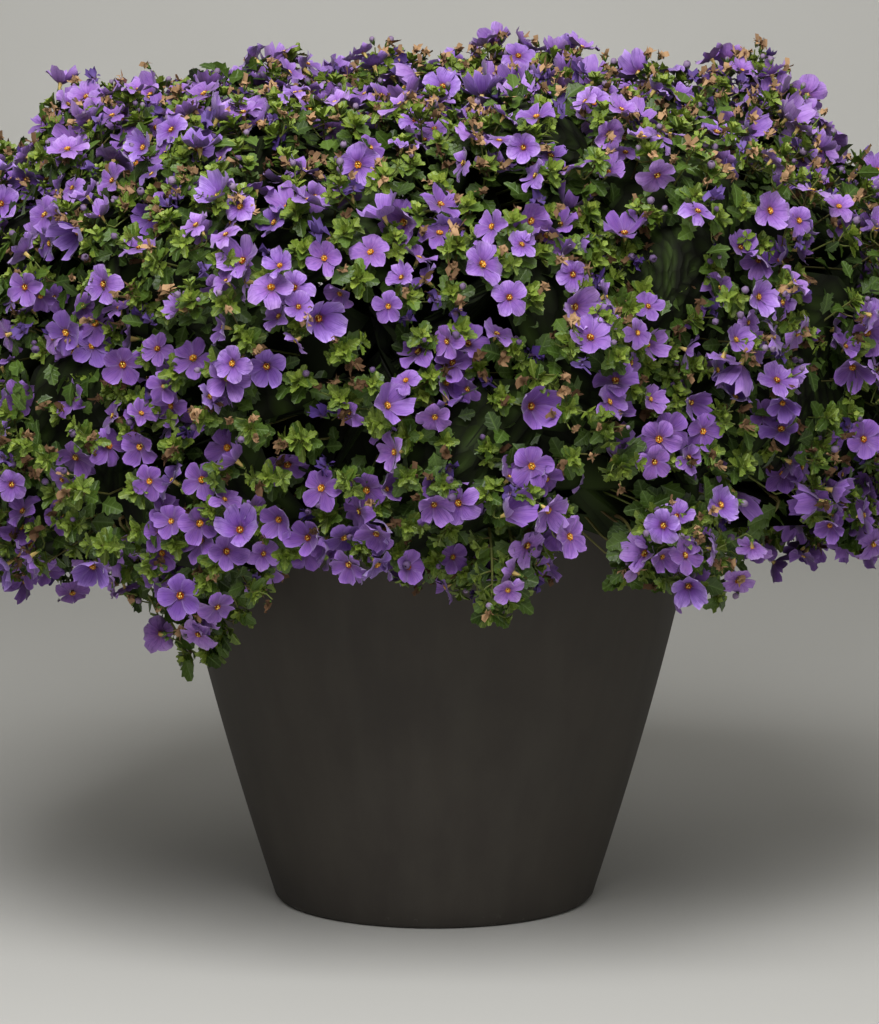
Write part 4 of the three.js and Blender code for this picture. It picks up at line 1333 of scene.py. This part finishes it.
def pot_profile():
    """The pot's section from the middle of its foot, round its rim, to the middle of its floor."""
    low = POT_FOOT_BEVEL
    rim = POT_HEIGHT - POT_RIM_ROUND
    foot = pot_radius(0)
    profile = [[0, 0], [foot - POT_FOOT_BEVEL, 0],
               [foot - POT_FOOT_ROUND[0], POT_FOOT_ROUND[1]]]
    for i in range(POT_STEPS + 1):
        height = low + (rim - low) * i / POT_STEPS
        profile.append([pot_radius(height), height])
    middle = pot_radius(POT_HEIGHT) - POT_WALL / 2
    for i in range(1, POT_RIM_STEPS):
        angle = i / POT_RIM_STEPS * math.pi
        profile.append([middle + POT_WALL / 2 * math.cos(angle),
                        rim + POT_RIM_ROUND * math.sin(angle)])
    for i in range(POT_INNER_STEPS + 1):
        height = rim + (POT_FLOOR - rim) * i / POT_INNER_STEPS
        profile.append([pot_radius(height) - POT_WALL, height])
    profile.append([0, POT_FLOOR])
    return profile


def lathe(profile, sides):
    """Points and faces of a closed turned shape whose profile starts and ends on the axis."""
    rings = profile[1:-1]
    points = [[0, 0, profile[0][1]]]
    for radius, height in rings:
        points += ring(radius, height, sides)
    points.append([0, 0, profile[-1][1]])
    faces = []
    for i in range(sides):
        after = (i + 1) % sides
        faces.append([0, 1 + after, 1 + i])
        for level in range(len(rings) - 1):
            a = 1 + level * sides
            b = a + sides
            faces.append([a + i, a + after, b + after, b + i])
        last = 1 + (len(rings) - 1) * sides
        faces.append([last + i, last + after, len(points) - 1])
    return points, faces


def join(points, faces, more_points, more_faces):
    """Adds the second shape's points and faces to the first's."""
    faces += [[corner + len(points) for corner in face] for face in more_faces]
    points += more_points.tolist()


def cut_holes(piece, radius, low, high, sides, places):
    """Takes upright round pins that stand at these places out of a piece."""
    points, faces = [], []
    for place in places:
        pin, walls = lathe([[0, low], [radius, low], [radius, high], [0, high]], sides)
        join(points, faces, np.array(pin) + place, walls)
    pins = mesh_object("pins", points, faces, piece.data.materials)
    cut = piece.modifiers.new("cut", "BOOLEAN")
    cut.operation = "DIFFERENCE"
    cut.object = pins
    depsgraph = bpy.context.evaluated_depsgraph_get()
    result = bpy.data.meshes.new_from_object(piece.evaluated_get(depsgraph))
    piece.modifiers.remove(cut)
    piece.data = result
    bpy.data.objects.remove(pins)


def make_pot():
    pot = mesh_object("pot_shell", *lathe(pot_profile(), POT_SIDES), [pot_finish()])
    holes = [level_way((i + 0.5) / DRAIN_HOLES * FULL_TURN) for i in range(DRAIN_HOLES)]
    cut_holes(pot, DRAIN_HOLE_RADIUS, -DRAIN_CUT_MARGIN, POT_FLOOR + DRAIN_CUT_MARGIN,
              DRAIN_HOLE_SIDES, [way * DRAIN_HOLE_CIRCLE for way in holes])
    pot.data.set_sharp_from_angle(angle=SHARP_EDGE)
    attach(pot, "root")
    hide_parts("pot")


def crumb(middle, size, rng):
    """A small lump of soil."""
    lump = OCTAHEDRON * size * rng.uniform(0.6, 1.2, (6, 1)) * [1, 1, 0.6]
    return lump + rng.normal(0, 0.15 * size, (6, 3)) + middle


def make_soil():
    """The soil that fills the pot, uneven and crumbly on top, with a hole for every stem."""
    rng = np.random.default_rng(SEED + 2)
    inside = POT_WALL + SOIL_CLEARANCE
    foot = POT_FLOOR + SOIL_CLEARANCE
    edge = pot_radius(SOIL_TOP) - inside
    profile = [[0, foot]]
    for i in range(SOIL_STEPS + 1):
        height = foot + (SOIL_TOP - foot) * i / SOIL_STEPS
        profile.append([pot_radius(height) - inside, height])
    for i in range(1, SOIL_RINGS):
        profile.append([edge * (1 - i / SOIL_RINGS), SOIL_TOP])
    profile.append([0, SOIL_TOP])
    points, faces = lathe(profile, SOIL_SIDES)
    for point in points:
        if point[2] > SOIL_TOP - 1:
            point[2] += rng.uniform(*SOIL_BUMPS)
    soil = mesh_object("soil_body", points, faces, [soil_finish()])
    cut_holes(soil, SOIL_HOLE_RADIUS, SOIL_TOP - SOIL_HOLE_DEPTH, SOIL_TOP + SOIL_CUT_MARGIN,
              SOIL_HOLE_SIDES, [planted_at(spray) for spray in sprays])
    points = [list(vertex.co / MM) for vertex in soil.data.vertices]
    faces = [list(face.vertices) for face in soil.data.polygons]
    for _ in range(CRUMBS):
        out = (edge - CRUMB_EDGE_GAP) * math.sqrt(rng.uniform())
        size = rng.uniform(*CRUMB_SIZES)
        middle = level_way(rng.uniform(0, FULL_TURN)) * out
        middle[2] = SOIL_TOP + 0.2 * size
        join(points, faces, crumb(middle, size, rng), OCTAHEDRON_FACES)
    crust = mesh_object("soil", points, faces, soil.data.materials, smooth=False)
    bpy.data.objects.remove(soil)
    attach(crust, "root")
    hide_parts("potting_soil")


# Camera, light and floor

CAMERA_DISTANCE = 2300
CAMERA_HEIGHT = 527
CAMERA_SIDE = 3
CAMERA_PITCH = math.radians(7.7)
FOCAL_PIXELS = 4182
SENSOR_WIDTH = 36
LONG_SIDE_PIXELS = 1024
SIGHT = 100  # how far the camera sees, in metres
SWEEP_HALF_WIDTH = 30000
SWEEP_WALL = 6000  # how far behind the plant
SWEEP_BEND = 1200
SWEEP_BEND_STEPS = 12
SWEEP_HEIGHT = 5000
LIGHTS = [  # name, size, power, place and aim, in metres and watts
    ("key", 1.0, 27, (-0.12, -1.05, 1.45), (0, 0, 0.3)),
    ("fill", 1.6, 6.5, (0.7, -2.6, 0.9), (0, 0, 0.25)),
    ("backdrop", 3.0, 49, (0, 4.6, 2.6), (0, 6, 1.0)),
]
TENT_STRENGTH = 0.3
TENT_FOOT = 0.3  # height of a direction where the tent's light begins
TENT_TOP = 0.6
TENT_DARK = (0.15, 0.15 * 0.98, 0.15 * 0.88, 1)
TENT_PALE = (1.0, 0.985, 0.93, 1)


def make_camera():
    lens = bpy.data.cameras.new("camera")
    lens.sensor_width = SENSOR_WIDTH
    lens.lens = FOCAL_PIXELS * SENSOR_WIDTH / LONG_SIDE_PIXELS
    lens.clip_end = SIGHT
    camera = add_object("camera", lens)
    camera.location = (CAMERA_SIDE * MM, -CAMERA_DISTANCE * MM, CAMERA_HEIGHT * MM)
    camera.rotation_euler = (math.pi / 2 - CAMERA_PITCH, 0, 0)
    bpy.context.scene.camera = camera


def add_light(name, size, power, place, aim):
    lamp = bpy.data.lights.new(name, "AREA")
    lamp.size = size
    lamp.energy = power
    light = add_object(name, lamp)
    light.location = place
    towards = Vector(np.array(aim) - np.array(place))
    light.rotation_euler = towards.to_track_quat("-Z", "Y").to_euler()
    light.visible_camera = False


def make_tent():
    """An even light from above, as from a large white tent, and little from the sides."""
    nodes = Nodes(bpy.data.worlds.new("studio"))
    height = nodes.split(nodes.coordinates("Generated"))[2]
    ramp = nodes.new("ShaderNodeValToRGB", {0: height})
    for element, place, light in zip(ramp.color_ramp.elements, (TENT_FOOT, TENT_TOP),
                                     (TENT_DARK, TENT_PALE)):
        element.position = place
        element.color = light
    background = nodes.tree.nodes["Background"]
    nodes.feed(background.inputs[0], ramp.outputs[0])
    nodes.feed(background.inputs[1], TENT_STRENGTH)
    bpy.context.scene.world = nodes.owner


def make_sweep():
    """A wide pale floor that curves up into a wall far behind the plant."""
    nodes = Nodes(bpy.data.materials.new("studio_paper"))
    grain = nodes.noise(nodes.coordinates(), 3.0)
    nodes.shade(nodes.mix(grain, PAPER_DARK, PAPER_PALE), 0.9)
    section = [(-SWEEP_HALF_WIDTH, 0)]
    for i in range(SWEEP_BEND_STEPS + 1):
        angle = i / SWEEP_BEND_STEPS * math.pi / 2
        section.append((SWEEP_WALL - SWEEP_BEND * (1 - math.sin(angle)),
                        SWEEP_BEND * (1 - math.cos(angle))))
    section.append((SWEEP_WALL, SWEEP_HEIGHT))
    points = [[side * SWEEP_HALF_WIDTH, y, z] for y, z in section for side in (-1, 1)]
    faces = [[2 * i, 2 * i + 1, 2 * i + 3, 2 * i + 2] for i in range(len(section) - 1)]
    mesh_object("studio_sweep", points, faces, [nodes.owner])


make_camera()
make_tent()
make_sweep()
bpy.context.scene.view_settings.view_transform = "Standard"
for light in LIGHTS:
    add_light(*light)
finishes = {finish: make_finish(finish) for finish in FINISHES}
templates = make_templates()
clumps = make_waves(np.random.default_rng(SEED + 5))
ruffles = make_waves(np.random.default_rng(SEED + 6))
riches = make_waves(np.random.default_rng(SEED + 7))
sprays = [Spray(i, way) for i, way in enumerate(spread(SPRAYS, LOWEST_SPRAY_TILT))]
make_pot()
make_soil()
for spray in sprays:
    add_main_stem(spray)
    add_core(spray)
    add_core_leaves(spray, np.random.default_rng(SEED + 100 + spray.index))
shoots = add_shoots()
tips = np.array([shoot.tip for shoot in shoots])
taken = []
add_sprigs()
add_flowers(shoots)
for spray in sprays:
    node = f"spray_{spray.index + 1:02d}"
    for heap, part in ((spray.foliage, "leaves"), (spray.blooms, "flowers")):
        piece = heap.make(f"{node}_{part}")
        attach(piece, "root")
        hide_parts(node)
